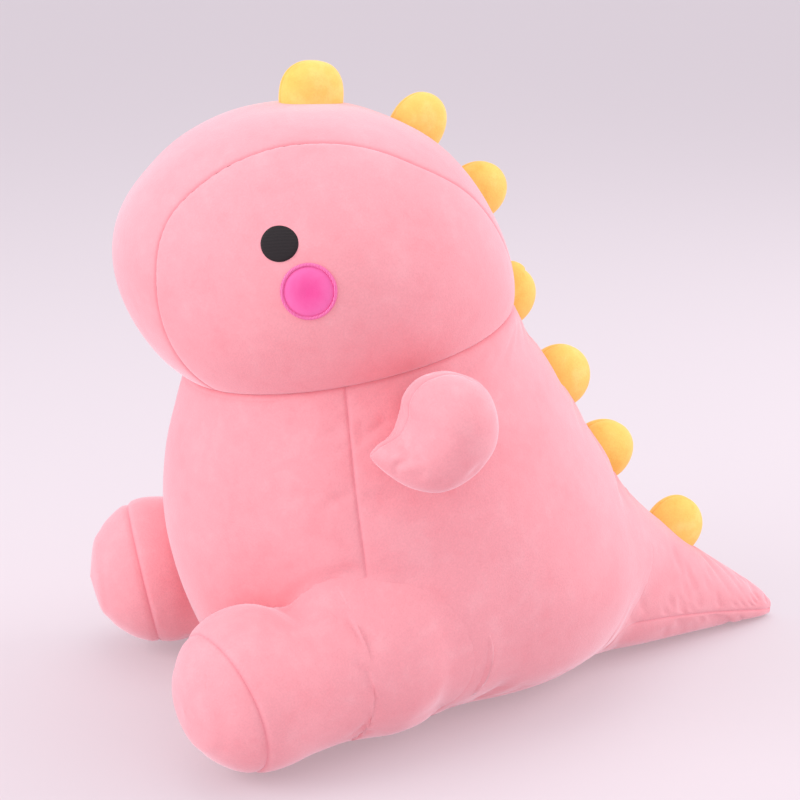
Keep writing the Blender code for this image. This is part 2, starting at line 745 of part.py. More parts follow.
# ---------------------------------------------------------------- spikes
def spike_base(kind, place):
    """Where a spike stands: a function of the distance along the back and across it."""
    if kind == "head":
        around = (HEAD_LENGTH + HEAD_HEIGHT) / 2

        def on_back(ahead, x):
            return head_point(place + math.degrees(ahead / around), x)

    elif kind == "nape":
        radius = HEAD_WIDTH * math.sqrt(
            1 - (HEAD_CENTRE - NECK_CENTRE).dot(NECK_NORMAL) ** 2 / NECK_REACH**2
        )

        def on_back(ahead, x):
            down = ahead + place
            if down > 0:
                return body_point(180.0 - math.degrees(x / NAPE_RADIUS), 1 - down / NAPE_LENGTH)
            back = math.sqrt((radius + NAPE_GAP) ** 2 - x**2)
            upright = NECK_CENTRE - NECK_NORMAL * down
            return upright - NECK_AHEAD * back + Vector((x, 0, 0))

    elif kind == "body":

        def on_back(ahead, x):
            share = place - ahead / BACK_LENGTH
            return body_point(180.0 - math.degrees(x / NAPE_RADIUS), share)

    else:

        def on_back(ahead, x):
            rows = [row[0] for row in TAIL_ROWS]
            y = place + ahead * TAIL_FLATNESS
            share = np.interp(y, rows, np.linspace(0, 1, len(rows)))
            point = tail_point(0.0, float(share))
            return point + Vector((x, 0, 0.0005 - x * x / 0.09))

    return on_back


def make_spike(name, kind, place, looks):
    on_back = spike_base(kind, place)
    forwards = (on_back(0.005, 0.0) - on_back(-0.005, 0.0)).normalized()
    out = Vector((-1, 0, 0)).cross(forwards).normalized()
    if out.dot(on_back(0.0, 0.0) - Vector((0, 0, 0.1))) < 0:
        out = -out

    def dome(share, angle, shrink, foot, shift=0.0):
        """The spike's outer face: share 0 at the top, 1 at the foot."""
        a = math.radians(angle)
        spread = math.sin(share * math.pi / 2) ** SPIKE_POWER
        rise = math.cos(share * math.pi / 2) ** SPIKE_POWER
        ahead = (SPIKE_HALF_LENGTH - shrink) * spread * math.cos(a)
        x = (SPIKE_HALF_THICKNESS - shrink) * spread * math.sin(a)
        top = SPIKE_HEIGHT - shrink
        return on_back(ahead, x) + out * (foot + (top - foot) * rise) + Vector((shift, 0, 0))

    shares = (0.0, 0.35, 0.68, 1.0)
    for label, side in SIDES:
        faces = []
        for shrink in (0.0, SPIKE_FABRIC):
            rows = []
            for angle in steps(0.0, 180.0, 6):
                shift = side * SEAM_GAP / 2
                rows.append([dome(s, side * angle, shrink, TRIM_GAP, shift) for s in shares])
            faces.append(rows)
        cloth(f"{name}_{label}", *faces, looks["yellow"])
    rows = []
    for share in (0.0, 0.4, 0.75, 1.0):
        angles = steps(0.0, 360.0, 10)[:-1]
        rows.append([dome(share, a, CORE_INSET, 2 * TRIM_GAP) for a in angles])
    solid(f"{name}_stuffing", rows, looks["stuffing"])


# ---------------------------------------------------------------- assembly
def make_pockets():
    legs, arms = [], []
    for label, side in SIDES:
        legs.append(leg_pocket(f"leg_pocket_{label}", side))
        arms.append(
            helper(
                drum(
                    f"arm_pocket_{label}",
                    ARM_ROOT_RADIUS + SWING_GAP,
                    side * (ARM_ROOT_IN - SWING_GAP),
                    side * 0.2,
                    SHOULDER,
                    "X",
                )
            )
        )
    tail = drum(
        "tail_pocket",
        TAIL_KNUCKLE_RADIUS + SWING_GAP,
        -0.1,
        TAIL_KNUCKLE_TOP + SWING_GAP,
        Vector((0, TAIL_AXIS_Y, 0)),
        "Z",
    )
    return {"legs": legs, "arms": arms, "tail": helper(tail)}


def on_pivot(name, place, *makers):
    """Runs the makers and parents what they make to an empty on the joint's axis."""
    before = set(bpy.data.objects)
    for maker, *arguments in makers:
        maker(*arguments)
    pieces = [obj for obj in bpy.data.objects if obj not in before]
    pivot = bpy.data.objects.new(name, None)
    bpy.context.scene.collection.objects.link(pivot)
    pivot.location = place
    for piece in pieces:
        piece.parent = pivot
        piece.matrix_parent_inverse = Matrix.Translation(-Vector(place))


def main():
    for obj in list(bpy.data.objects):
        bpy.data.objects.remove(obj)
    looks = make_materials()
    pockets = make_pockets()

    places = [("head", p) for p in HEAD_SPIKES]
    places += [("nape", p) for p in NAPE_SPIKES]
    places += [("body", p) for p in BODY_SPIKES]
    places += [("tail", p) for p in TAIL_SPIKES]
    spikes = {"head": [], "nape": [], "body": [], "tail": []}
    for number, (kind, place) in enumerate(places, start=1):
        spikes[kind].append((make_spike, f"spike_{number}", kind, place, looks))

    make_body(looks, pockets)
    for maker, *arguments in spikes["nape"] + spikes["body"]:
        maker(*arguments)
    on_pivot("head_pivot", NECK_CENTRE, (make_head, looks), *spikes["head"])
    for label, side in SIDES:
        hip = Vector((side * HIP.x, HIP.y, HIP.z))
        shoulder = Vector((side * ARM_SEAM_X, SHOULDER.y, SHOULDER.z))
        on_pivot(f"leg_pivot_{label}", hip, (make_leg, looks, label, side))
        on_pivot(f"arm_pivot_{label}", shoulder, (make_arm, looks, label, side))
    tail_root = Vector((0, TAIL_AXIS_Y, 0.04))
    on_pivot("tail_pivot", tail_root, (make_tail, looks), *spikes["tail"])


main()
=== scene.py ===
"""The looks of a seated plush dinosaur: sewn skins over stuffing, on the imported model's frame.

Metres, +Z up, the snout towards -Y, the toy's left side towards +X. The surfaces repeat
the part's own curves, more finely, and then get seams, folds and dimples.
"""

import contextlib
import math

import bmesh
import bpy
import numpy as np
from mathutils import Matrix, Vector
from mathutils.bvhtree import BVHTree
from mathutils.kdtree import KDTree


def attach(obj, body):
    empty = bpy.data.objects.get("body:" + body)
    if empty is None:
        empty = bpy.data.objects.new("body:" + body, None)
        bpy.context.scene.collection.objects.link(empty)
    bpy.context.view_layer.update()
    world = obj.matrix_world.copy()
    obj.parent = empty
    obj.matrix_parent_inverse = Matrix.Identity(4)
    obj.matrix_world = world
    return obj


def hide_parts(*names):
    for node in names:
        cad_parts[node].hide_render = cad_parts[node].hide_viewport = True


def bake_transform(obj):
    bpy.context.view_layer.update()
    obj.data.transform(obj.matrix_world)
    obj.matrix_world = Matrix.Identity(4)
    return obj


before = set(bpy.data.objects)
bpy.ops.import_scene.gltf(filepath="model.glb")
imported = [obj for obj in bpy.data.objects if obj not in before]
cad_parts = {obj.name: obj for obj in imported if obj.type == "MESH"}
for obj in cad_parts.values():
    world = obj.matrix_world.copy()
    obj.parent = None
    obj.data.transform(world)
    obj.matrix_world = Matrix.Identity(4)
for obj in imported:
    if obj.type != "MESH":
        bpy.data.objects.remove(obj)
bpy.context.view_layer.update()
scene = bpy.context.scene

# ---- the part's own curves
HEAD_CENTRE = np.array((0.0, -0.053, 0.285))
HEAD_LENGTH, HEAD_HEIGHT = 0.127, 0.096
NECK_SLOPE = 0.2
NECK_CENTRE = np.array((0.0, -0.035, 0.234))
NECK_NORMAL = np.array((0.0, -NECK_SLOPE, 1.0)) / math.hypot(1, NECK_SLOPE)
NECK_AHEAD = np.array((0.0, -1.0, -NECK_SLOPE)) / math.hypot(1, NECK_SLOPE)
HEAD_WIDTH = math.sqrt(
    (1 + NECK_SLOPE**2) / (1 / HEAD_LENGTH**2 + NECK_SLOPE**2 / HEAD_HEIGHT**2)
)
SECTION_DRIFT = NECK_SLOPE * (HEAD_LENGTH**2 - HEAD_HEIGHT**2)
SECTION_DRIFT /= HEAD_HEIGHT**2 + (NECK_SLOPE * HEAD_LENGTH) ** 2
LEAN, LENGTHEN, SQUAT, LEAN_HEIGHT = (0.0392, -0.0395), (-0.420, 0.490), 0.975, 0.15
# Degrees round the head from the snout over the crown, half width of the band.
BAND_HALF_WIDTH = (
    (-90, 0.030), (-50, 0.034), (0, 0.046), (35, 0.046), (62, 0.057), (90, 0.070), (120, 0.076),
    (150, 0.066), (180, 0.052), (230, 0.045), (270, 0.030),
)
# How much fuller than its plain shape the head is on top: degrees round the head, metres.
HEAD_FULLNESS = (
    (-90, 0.0), (10, 0.0), (25, 0.0), (38, 0.0004), (56, 0.0044), (70, 0.0058), (82, 0.0044),
    (97, 0.0012), (112, -0.0006), (125, 0.0008), (137, 0.0028), (152, 0.0046), (168, 0.0048),
    (185, 0.0028), (205, 0.0), (220, 0.0), (271, 0.0),
)
# From the floor up to the neck: front y and z, back y and z, half width.
BODY_ROWS = (
    (-0.075, 0.000, 0.105, 0.000, 0.046), (-0.104, 0.011, 0.134, 0.011, 0.083),
    (-0.127, 0.038, 0.155, 0.038, 0.112), (-0.144, 0.078, 0.163, 0.080, 0.128),
    (-0.153, 0.122, 0.150, 0.128, 0.1285), (-0.151, 0.162, 0.122, 0.175, 0.1205),
    (-0.1435, 0.192, 0.092, 0.220, 0.111), (-0.1365, 0.2137, 0.0665, 0.2543, 0.1035),
)
SEAT_SEAM = 0.16
SIDE_SEAM_LOW, SIDE_SEAM_HIGH = 58.0, 68.0
HIP = np.array((0.088, -0.055, 0.0585))
ANKLE_TOWARDS = np.array((0.020, -0.093, -0.0065))
# Distance along the leg from the hip, radius.
LEG_ROWS = (
    (-0.0560, 0.0), (-0.0520, 0.0208), (-0.0410, 0.0381), (-0.0228, 0.0511), (0.0000, 0.0560),
    (0.0228, 0.0520), (0.0420, 0.0485), (0.0600, 0.0490), (0.0780, 0.0518), (0.0955, 0.0495),
    (0.1080, 0.0425), (0.1180, 0.0320), (0.1245, 0.0195), (0.1280, 0.0),
)
SOLE_SEAM = 0.0965
LEG_START, LEG_END, LEG_END_LENGTH = -0.0560, 0.1280, 0.006
SHOULDER = np.array((0.0, -0.022, 0.203))
ARM_SEAM_X = 0.147
# y, height of the top, height where it is widest, half width there.
TAIL_ROWS = (
    (0.130, 0.0975, 0.044, 0.0570), (0.160, 0.0975, 0.042, 0.0520),
    (0.190, 0.0840, 0.036, 0.0420), (0.220, 0.0610, 0.028, 0.0310),
    (0.250, 0.0400, 0.019, 0.0205), (0.272, 0.0240, 0.012, 0.0120),
    (0.283, 0.0130, 0.008, 0.0050),
)
TAIL_LOW, TAIL_EDGE = 0.0008, 100.0
TAIL_POWER_UP, TAIL_POWER_DOWN, TAIL_POWER_ACROSS = 1.15, 0.8, 0.9
SPIKE_HEIGHT = 0.0240
BACK_RADIUS, NAPE_LENGTH, BACK_LENGTH, NAPE_GAP = 0.105, 0.299, 0.37, 0.0018
BODY_MIDDLE, BODY_FLOOR = (0, 0, 0.12), (0.0, 0.015, 0.0)
EYE_AT, EYE_RADIUS = (-0.1140, 0.3150), 0.0108
CHEEK_AT, CHEEK_RADIUS, BORDER_WIDTH = (-0.1020, 0.2890), 0.0140, 0.0020
SIDES = (("left", 1), ("right", -1))

# ---- what only the looks have
# The back is slimmer beside the spikes, the foot slimmer, and the thigh stands higher, with a
# valley between thigh and foot on the inner side. The right foot sits a little higher.
BACK_SLIMMER, FOOT_SLIMMER, FOOT_RAISE = 0.0115, 0.055, 0.0035
THIGH_LIFT, THIGH_FULLNESS = 0.0100, 0.035
VALLEY_AT, VALLEY_WIDTH, VALLEY_DEPTH, INNER_TURN = 0.052, 0.014, 0.16, 0.75
RIM_HEIGHTS = (0.0003, 0.0008, 0.0014, 0.0022, 0.0034, 0.005, 0.0075)
FACE_CROWDING = 1.6
NECK_ROLL, NECK_ROLL_WIDTH, NECK_FLARE, NECK_FLARE_WIDTH = 0.0012, 0.0013, 0.0005, 0.010
NECK_FLANGE, NECK_SEAM_WIDTH = 0.006, 0.0012
SEAM_DEPTH, SEAM_WIDTH, SEAM_BULGE, BULGE_WIDTH = 0.0010, 0.0011, 0.0003, 0.008
THIGH_CREASE = (
    (0.0849, -0.1095, 0.0901), (0.0917, -0.1047, 0.1013), (0.0991, -0.0968, 0.1111),
    (0.1104, -0.0788, 0.1193),
)
THIGH_FOLD = ((0.1104, -0.0788, 0.1193), (0.1148, -0.0695, 0.1194), (0.1195, -0.0574, 0.1197))
CREASE_RADIUS, CREASE_DEPTH, CREASE_REACH, SOFT_REACH = 0.0034, 0.0014, 0.003, 0.037
FOLD_RADIUS, FOLD_DEPTH = 0.0028, 0.0008
TAIL_ROOT = np.array((0.0, 0.1400, 0.108))
TAIL_ROOT_NORMAL = np.array((0.0, 0.956, -0.293))
TAIL_INSIDE, TAIL_TIP = 0.040, 0.0015
SHOULDER_REACH, SHOULDER_RADIUS = 0.022, 0.027
FLOOR_HEIGHT, FLOOR_SOFTNESS = 0.0005, 0.004
CLOTH_PINNED, CLOTH_FRAMES, CLOTH_PRESSURE, SWELLING_KEPT_OFF = 0.0035, 20, 4.0, 0.55
ROOT_DIVE, BODY_FILL, TAIL_FILL, ARM_FILL, SPIKE_FILL = 0.0006, 0.85, 0.8, 0.75, 0.8


def steps(low, high, count):
    return np.linspace(low, high, count + 1)


def crowded(low, high, count, crowd=0.82):
    """Steps from low to high that stand closer together near both ends."""
    t = np.linspace(0.0, 1.0, count + 1)
    return low + (high - low) * (t - crowd * np.sin(2 * math.pi * t) / (2 * math.pi))


def hermite(f, start, end, slope_in, slope_out):
    """The cubic curve at a share f of the way from start to end."""
    return (
        (2 * f**3 - 3 * f**2 + 1) * start
        + (f**3 - 2 * f**2 + f) * slope_in
        + (3 * f**2 - 2 * f**3) * end
        + (f**3 - f**2) * slope_out
    )


def along(rows, share):
    """The smooth curve through the rows, at shares from 0 to 1 of the way."""
    rows, share = np.asarray(rows, float), np.asarray(share, float)
    last = len(rows) - 1
    place = np.clip(share, 0.0, 1.0) * last
    i = np.minimum(place.astype(int), last - 1)
    f = (place - i)[..., None]
    before, after = rows[np.maximum(i - 1, 0)], rows[np.minimum(i + 2, last)]
    start, end = rows[i], rows[i + 1]
    slope_in = (end - before) / np.where(i > 0, 2, 1)[..., None]
    slope_out = (after - start) / np.where(i + 2 <= last, 2, 1)[..., None]
    return hermite(f, start, end, slope_in, slope_out)


def at_key(rows, key):
    """The smooth curve through rows whose first column is a rising key."""
    rows, key = np.asarray(rows, float), np.asarray(key, float)
    keys, values = rows[:, 0], rows[:, 1:]
    secant = np.diff(values, axis=0) / np.diff(keys)[:, None]
    gap = np.diff(keys)[:, None]
    slope = np.empty_like(values)
    slope[1:-1] = (secant[:-1] * gap[1:] + secant[1:] * gap[:-1]) / (gap[1:] + gap[:-1])
    slope[0], slope[-1] = secant[0], secant[-1]
    key = np.clip(key, keys[0], keys[-1])
    i = np.clip(np.searchsorted(keys, key, side="right") - 1, 0, len(keys) - 2)
    h = (keys[i + 1] - keys[i])[..., None]
    f = (key - keys[i])[..., None] / h
    return hermite(f, values[i], values[i + 1], slope[i] * h, slope[i + 1] * h)


def smooth(value, low, high):
    t = np.clip((value - low) / (high - low), 0.0, 1.0)
    return t * t * (3 - 2 * t)


def stack(*columns):
    return np.stack(np.broadcast_arrays(*columns), axis=-1)


# ---- surfaces
def leaned(points):
    """Moves points of the plain ellipsoid to the head's."""
    away = points - NECK_CENTRE
    height, ahead = away @ NECK_NORMAL, away @ NECK_AHEAD
    centre = HEAD_CENTRE - NECK_CENTRE
    middle = centre @ NECK_AHEAD + (height - centre @ NECK_NORMAL) * SECTION_DRIFT
    t = height / LEAN_HEIGHT
    shift = LEAN[0] * t + LEAN[1] * t * t
    stretch = 1 + LENGTHEN[0] * t + LENGTHEN[1] * t * t
    ahead = middle + shift + (ahead - middle) * stretch
    place = (
        NECK_CENTRE
        + NECK_NORMAL * (height * SQUAT)[..., None]
        + NECK_AHEAD * ahead[..., None]
    )
    place[..., 0] = points[..., 0]
    return place


def plain_point(angle, x):
    t = np.radians(angle)
    narrow = np.sqrt(np.maximum(0.0, 1 - (x / HEAD_WIDTH) ** 2))
    away = stack(x, -HEAD_LENGTH * narrow * np.cos(t), HEAD_HEIGHT * narrow * np.sin(t))
    return HEAD_CENTRE + away


def head_point(angle, x):
    plain = plain_point(angle, x)
    full = at_key(HEAD_FULLNESS, angle)[..., 0] * (1 - (x / HEAD_WIDTH) ** 2)
    return leaned(plain) + head_normal(plain) * full[..., None]


def head_normal(plain):
    out = (plain - HEAD_CENTRE) / np.array((HEAD_WIDTH, HEAD_LENGTH, HEAD_HEIGHT)) ** 2
    out /= np.linalg.norm(out, axis=-1, keepdims=True)
    # Two short steps along the surface, whichever way, show how it lies once it leans.
    first = np.cross(out, (0.3, 0.2, 0.93))
    first *= 1e-4 / np.linalg.norm(first, axis=-1, keepdims=True)
    second = np.cross(out, first)
    across = leaned(plain + first) - leaned(plain - first)
    up = leaned(plain + second) - leaned(plain - second)
    normal = np.cross(across, up)
    return normal / np.linalg.norm(normal, axis=-1, keepdims=True)


def band_half_width(angle):
    return at_key(BAND_HALF_WIDTH, angle)[..., 0]


def cheek_plain(y, z, side):
    """The point of the plain ellipsoid that the head's lean brings to this y and z."""
    plain_y, plain_z = np.array(y, float), np.array(z, float)
    for _ in range(8):
        flank = 1 - ((plain_y - HEAD_CENTRE[1]) / HEAD_LENGTH) ** 2
        flank -= ((plain_z - HEAD_CENTRE[2]) / HEAD_HEIGHT) ** 2
        x = side * HEAD_WIDTH * np.sqrt(np.maximum(flank, 0.0))
        plain = stack(x, plain_y, plain_z)
        now = leaned(plain)
        plain_y = plain_y + y - now[..., 1]
        plain_z = plain_z + z - now[..., 2]
    return plain


def body_point(angle, share):
    """The body's outer face: an angle round from the front and a share of the height."""
    rows = along(BODY_ROWS, share)
    front_y, front_z, back_y, back_z, half_width = np.moveaxis(rows, -1, 0)
    a = np.radians(angle)
    y = (front_y + back_y) / 2 + (front_y - back_y) / 2 * np.cos(a)
    z = (front_z + back_z) / 2 + (front_z - back_z) / 2 * np.cos(a)
    # Either side of the spikes the back is slimmer than an ellipse.
    slimmer = smooth(share, 0.38, 0.56) * (1 - smooth(share, 0.88, 1.0))
    beside = np.where(np.cos(a) < 0, np.abs(np.sin(2 * a)) ** 1.4, 0.0)
    return stack(half_width * np.sin(a), y - BACK_SLIMMER * slimmer * beside, z)


def side_seam(share):
    return SIDE_SEAM_LOW + (SIDE_SEAM_HIGH - SIDE_SEAM_LOW) * share


def leg_axes(side):
    hip = HIP * (side, 1, 1)
    ahead = ANKLE_TOWARDS * (side, 1, 1) / np.linalg.norm(ANKLE_TOWARDS)
    across = np.cross(ahead, (0, 0, 1))
    across /= np.linalg.norm(across)
    return hip, ahead, across, np.cross(across, ahead)


def leg_point(side, distance, angle):
    hip, ahead, across, up = leg_axes(side)
    radius = np.maximum(0.0, at_key(LEG_ROWS, distance)[..., 0])
    radius = radius * (1 - FOOT_SLIMMER * smooth(distance, 0.04, 0.08))
    a = np.radians(angle)
    # The fold between thigh and belly is on top and on the inner side only.
    inner = smooth(np.cos(a - side * INNER_TURN), 0.1, 0.9)
    thigh = (1 - smooth(distance, 0.028, 0.055)) * inner
    thigh = thigh + (1 - smooth(distance, -0.03, 0.07)) * (1 - inner)
    radius = radius * (1 + THIGH_FULLNESS * thigh)
    out = up * np.cos(a)[..., None] + across * np.sin(a)[..., None]
    valley = np.exp(-(((distance - VALLEY_AT) / VALLEY_WIDTH) ** 2))
    radius = radius * (1 - VALLEY_DEPTH * valley * inner)
    raised = THIGH_LIFT * thigh
    if side < 0:
        raised = raised + FOOT_RAISE * smooth(distance, 0.03, 0.10)
    lift = stack(0 * thigh, 0 * thigh, raised)
    return hip + ahead * distance[..., None] + out * radius[..., None] + lift


def tail_point(angle, share):
    y, top, widest, half_width = np.moveaxis(along(TAIL_ROWS, share), -1, 0)
    a = np.radians(angle)
    up, across = np.cos(a), np.sin(a)
    height = np.where(up > 0, top - widest, widest - TAIL_LOW)
    lean = np.abs(up) ** np.where(up > 0, TAIL_POWER_UP, TAIL_POWER_DOWN)
    x = half_width * np.sign(across) * np.abs(across) ** TAIL_POWER_ACROSS
    return stack(x, y, widest + height * np.sign(up) * lean)


# ---- meshes
@contextlib.contextmanager
def edited(mesh):
    """The mesh as a bmesh, which is written back afterwards."""
    made = bmesh.new()
    made.from_mesh(mesh)
    yield made
    made.to_mesh(mesh)
    made.free()


def add_object(name, data):
    obj = bpy.data.objects.new(name, data)
    scene.collection.objects.link(obj)
    return obj


def grid_mesh(name, points, wrap=False, poles=(False, False)):
    """A mesh through rows of points. A row that is a pole becomes one point."""
    rows, columns = points.shape[:2]
    index = np.arange(rows * columns).reshape(rows, columns)
    if wrap:
        index = np.concatenate([index, index[:, :1]], axis=1)
    for end, is_pole in zip((0, -1), poles):
        if is_pole:
            index[end] = index[end, 0]
    faces = np.stack([index[:-1, :-1], index[:-1, 1:], index[1:, 1:], index[1:, :-1]], axis=-1)
    faces = [list(dict.fromkeys(f)) for f in faces.reshape(-1, 4).tolist()]
    mesh = bpy.data.meshes.new(name)
    mesh.from_pydata(points.reshape(-1, 3).tolist(), [], faces)
    with edited(mesh) as made:
        loose = [v for v in made.verts if not v.link_faces]
        bmesh.ops.delete(made, geom=loose, context="VERTS")
    mesh.shade_smooth()
    return add_object(name, mesh)


def points_of(obj):
    co = np.empty(len(obj.data.vertices) * 3)
    obj.data.vertices.foreach_get("co", co)
    return co.reshape(-1, 3)


def normals_of(obj):
    out = np.empty(len(obj.data.vertices) * 3)
    obj.data.vertices.foreach_get("normal", out)
    return out.reshape(-1, 3)


def set_points(obj, co):
    obj.data.vertices.foreach_set("co", np.ascontiguousarray(co, dtype=float).ravel())
    obj.data.update()


def face_out(obj, centre):
    """Turns every face so that the normals point away from a place inside."""
    co, n = points_of(obj), normals_of(obj)
    if ((co - np.asarray(centre)) * n).sum() < 0:
        obj.data.flip_normals()
    return obj


def tree_of(obj):
    faces = [tuple(p.vertices) for p in obj.data.polygons]
    return BVHTree.FromPolygons(points_of(obj).tolist(), faces)


def signed(tree, co):
    """The distance to a closed surface, below zero inside it, and the way away from it."""
    distance, away = np.empty(len(co)), np.empty_like(co)
    for i, point in enumerate(co.tolist()):
        place, normal, _, _ = tree.find_nearest(point)
        normal = np.array(normal)
        gap = np.array(point) - np.array(place)
        size = math.sqrt(gap @ gap)
        inside = gap @ normal < 0
        distance[i] = -size if inside else size
        away[i] = normal if size < 1e-5 else gap / size * (-1 if inside else 1)
    return distance, away


def finer(line, shares):
    """A line's points, with more at these shares of the way from each to the next."""
    return np.concatenate([line[:-1] + np.diff(line, axis=0) * t for t in shares])


def near_to(line, co):
    """The distance from points to a line of points."""
    tree = KDTree(len(line))
    for i, point in enumerate(line.tolist()):
        tree.insert(point, i)
    tree.balance()
    return np.array([tree.find(point)[2] for point in co.tolist()])


def paint_seam_shade(obj, share):
    """Records how near each point is to a seam, where painted shade darkens the cloth's colour.
    """
    mark = obj.data.attributes.get("seam") or obj.data.attributes.new("seam", "FLOAT", "POINT")
    old = np.zeros(len(share), np.float32)
    mark.data.foreach_get("value", old)
    mark.data.foreach_set("value", np.maximum(old, share).astype(np.float32))


def groove(d, depth, width, bulge, bulge_width):
    """How far cloth moves at a distance from a seam: in at it, and out on either side."""
    move = -depth * np.exp(-((d / width) ** 1.3))
    return move + bulge * (d / bulge_width) * np.exp(1 - d / bulge_width)


def join_softly(obj, others, reach_of, deepest=0.004):
    """Moves a skin's points to the smooth union with its neighbours' skins.

    Where a neighbour is the outer one, the skin dives under it and goes on inside.
    """
    co = points_of(obj)
    normal = normals_of(obj)
    for tree in others:
        reach = reach_of(co)
        b, _ = signed(tree, co)
        chosen = np.flatnonzero((b < reach) & (b > -reach))
        if not len(chosen):
            continue
        start, k, b_start = co[chosen], reach[chosen], b[chosen]
        place, own = start, normal[chosen]
        for _ in range(3):
            b_now, b_away = signed(tree, place)
            a = ((place - start) * own).sum(1)
            h = np.clip(1 - np.abs(a - b_now) / k, 0, None)
            f = np.minimum(a, b_now) - h * h * k / 4
            share = np.clip(0.5 + (b_now - a) / (2 * k), 0, 1)[:, None]
            slope = own * share + b_away * (1 - share)
            slope /= np.maximum(np.linalg.norm(slope, axis=1, keepdims=True), 1e-6)
            place = place - slope * f[:, None]
        b_now, _ = signed(tree, place)
        a = ((place - start) * own).sum(1)
        under = np.maximum(a - b_now, 0.0)
        dive = np.minimum(0.5 * under * under / (under + 0.002), deepest)
        place -= own * dive[:, None]
        weight = smooth(b_start, -k, -0.45 * k)[:, None]
        co[chosen] = start + (place - start) * weight
        set_points(obj, co)
        normal = normals_of(obj)


def carve(obj, line, depth=SEAM_DEPTH, width=SEAM_WIDTH, bulge=SEAM_BULGE):
    """Pulls the cloth in along a seam, and lets it bulge a little on either side."""
    co, n = points_of(obj), normals_of(obj)
    d = near_to(line, co)
    set_points(obj, co + n * groove(d, depth, width, bulge, BULGE_WIDTH)[:, None])
    # Painted shade along the groove, where the seam colour is mixed in.
    paint_seam_shade(obj, np.exp(-((d / (width * 0.8)) ** 2)))


def press(obj, marks):
    """Dimples and folds: (start, end, radius, depth), each a groove between two places."""
    co, n = points_of(obj), normals_of(obj)
    move = np.zeros(len(co))
    for start, end, radius, depth in marks:
        start, end = np.array(start), np.array(end)
        line = end - start
        t = np.clip((co - start) @ line / max(line @ line, 1e-12), 0, 1)
        d = np.linalg.norm(co - start - t[:, None] * line, axis=1)
        fade = 1 - 0.75 * np.abs(2 * t - 1) ** 2 if line @ line > 1e-10 else 1.0
        move -= depth * fade * np.exp(-((d / radius) ** 2))
        move += 0.35 * depth * fade * np.exp(-(((d - 1.9 * radius) / radius) ** 2))
    set_points(obj, co + n * move[:, None])


def ripple(obj, size, height, seed, share_of):
    """Slow unevenness, as of stuffing under cloth."""
    waves = 14
    co, n = points_of(obj), normals_of(obj)
    rng = np.random.default_rng(seed)
    move = np.zeros(len(co))
    for _ in range(waves):
        wave = rng.normal(size=3)
        wave *= 2 * math.pi / (size * rng.uniform(0.8, 1.8)) / np.linalg.norm(wave)
        move += np.sin(co @ wave + rng.uniform(0, 2 * math.pi))
    set_points(obj, co + n * (height * move / math.sqrt(waves) * share_of(co))[:, None])


def swell(skin, cloth, seams, most, slack, held=None):
    """Lets a coarse copy of the cloth swell under its stuffing, and moves the skin with it.

    The cloth is pinned along its seams and is a little larger than the outline it is sewn to,
    so that it bulges between the seams and puckers beside them. The copy is then removed.
    """
    rest = points_of(cloth)
    near = np.min([near_to(line, rest) for line in seams], axis=0)
    pinned = near < CLOTH_PINNED
    if held is not None:
        pinned |= held(rest)
    group = cloth.vertex_groups.new(name="seams")
    group.add(np.flatnonzero(pinned).tolist(), 1.0, "REPLACE")
    modifier = cloth.modifiers.new("stuffing", "CLOTH")
    settings = modifier.settings
    settings.quality = 5
    settings.mass = 0.2
    settings.tension_stiffness = settings.compression_stiffness = 15.0
    settings.shear_stiffness = 5.0
    settings.bending_stiffness = 0.4
    settings.use_pressure = True
    settings.uniform_pressure_force = CLOTH_PRESSURE
    settings.shrink_min = -slack
    settings.vertex_group_mass = "seams"
    settings.effector_weights.gravity = 0.0
    modifier.collision_settings.use_collision = False
    modifier.point_cache.frame_start = 1
    modifier.point_cache.frame_end = CLOTH_FRAMES
    for number in range(1, CLOTH_FRAMES + 1):
        scene.frame_set(number)
    swollen = cloth.evaluated_get(bpy.context.evaluated_depsgraph_get())
    move = points_of(swollen) - rest
    scene.frame_set(1)
    faces = [f for p in cloth.data.polygons for f in triangles_of(p.vertices)]
    tree = BVHTree.FromPolygons(rest.tolist(), faces)
    co = points_of(skin)
    found = [tree.find_nearest(point) for point in co.tolist()]
    hit = np.array(faces)[[item[2] for item in found]]
    place = np.array([item[0] for item in found])
    a, b, c = rest[hit[:, 0]], rest[hit[:, 1]], rest[hit[:, 2]]
    whole = np.cross(b - a, c - a)
    area = np.maximum((whole * whole).sum(1), 1e-20)
    u = (np.cross(c - b, place - b) * whole).sum(1) / area
    v = (np.cross(a - c, place - c) * whole).sum(1) / area
    shares = np.clip(np.stack([u, v, 1 - u - v], axis=1), 0.0, 1.0)
    moved = (move[hit] * shares[..., None]).sum(1)
    size = np.linalg.norm(moved, axis=1, keepdims=True)
    moved *= most * np.tanh(size / most) / np.maximum(size, 1e-9)
    # The outlines are those of the stuffed toy already, so about half the swelling is taken off.
    moved -= normals_of(skin) * SWELLING_KEPT_OFF * most * np.tanh(size / most)
    set_points(skin, co + moved)
    bpy.data.objects.remove(cloth)


def triangles_of(corners):
    corners = tuple(corners)
    return [(corners[0], corners[i], corners[i + 1]) for i in range(1, len(corners) - 1)]


# ---- materials
def set_inputs(node, values):
    for name, value in values.items():
        node.inputs[name].default_value = value


def link_noise(tree, place, scale, detail, rough):
    noise = tree.nodes.new("ShaderNodeTexNoise")
    set_inputs(noise, {"Scale": scale, "Detail": detail, "Roughness": rough})
    tree.links.new(place, noise.inputs["Vector"])
    return noise.outputs["Fac"]


def ramp(tree, fac, stops):
    node = tree.nodes.new("ShaderNodeValToRGB")
    node.color_ramp.interpolation = "EASE"
    elements = node.color_ramp.elements
    while len(elements) < len(stops):
        elements.new(0.5)
    for element, (at, colour) in zip(elements, stops):
        element.position = at
        element.color = (*colour, 1.0)
    tree.links.new(fac, node.inputs["Fac"])
    return node.outputs["Color"]


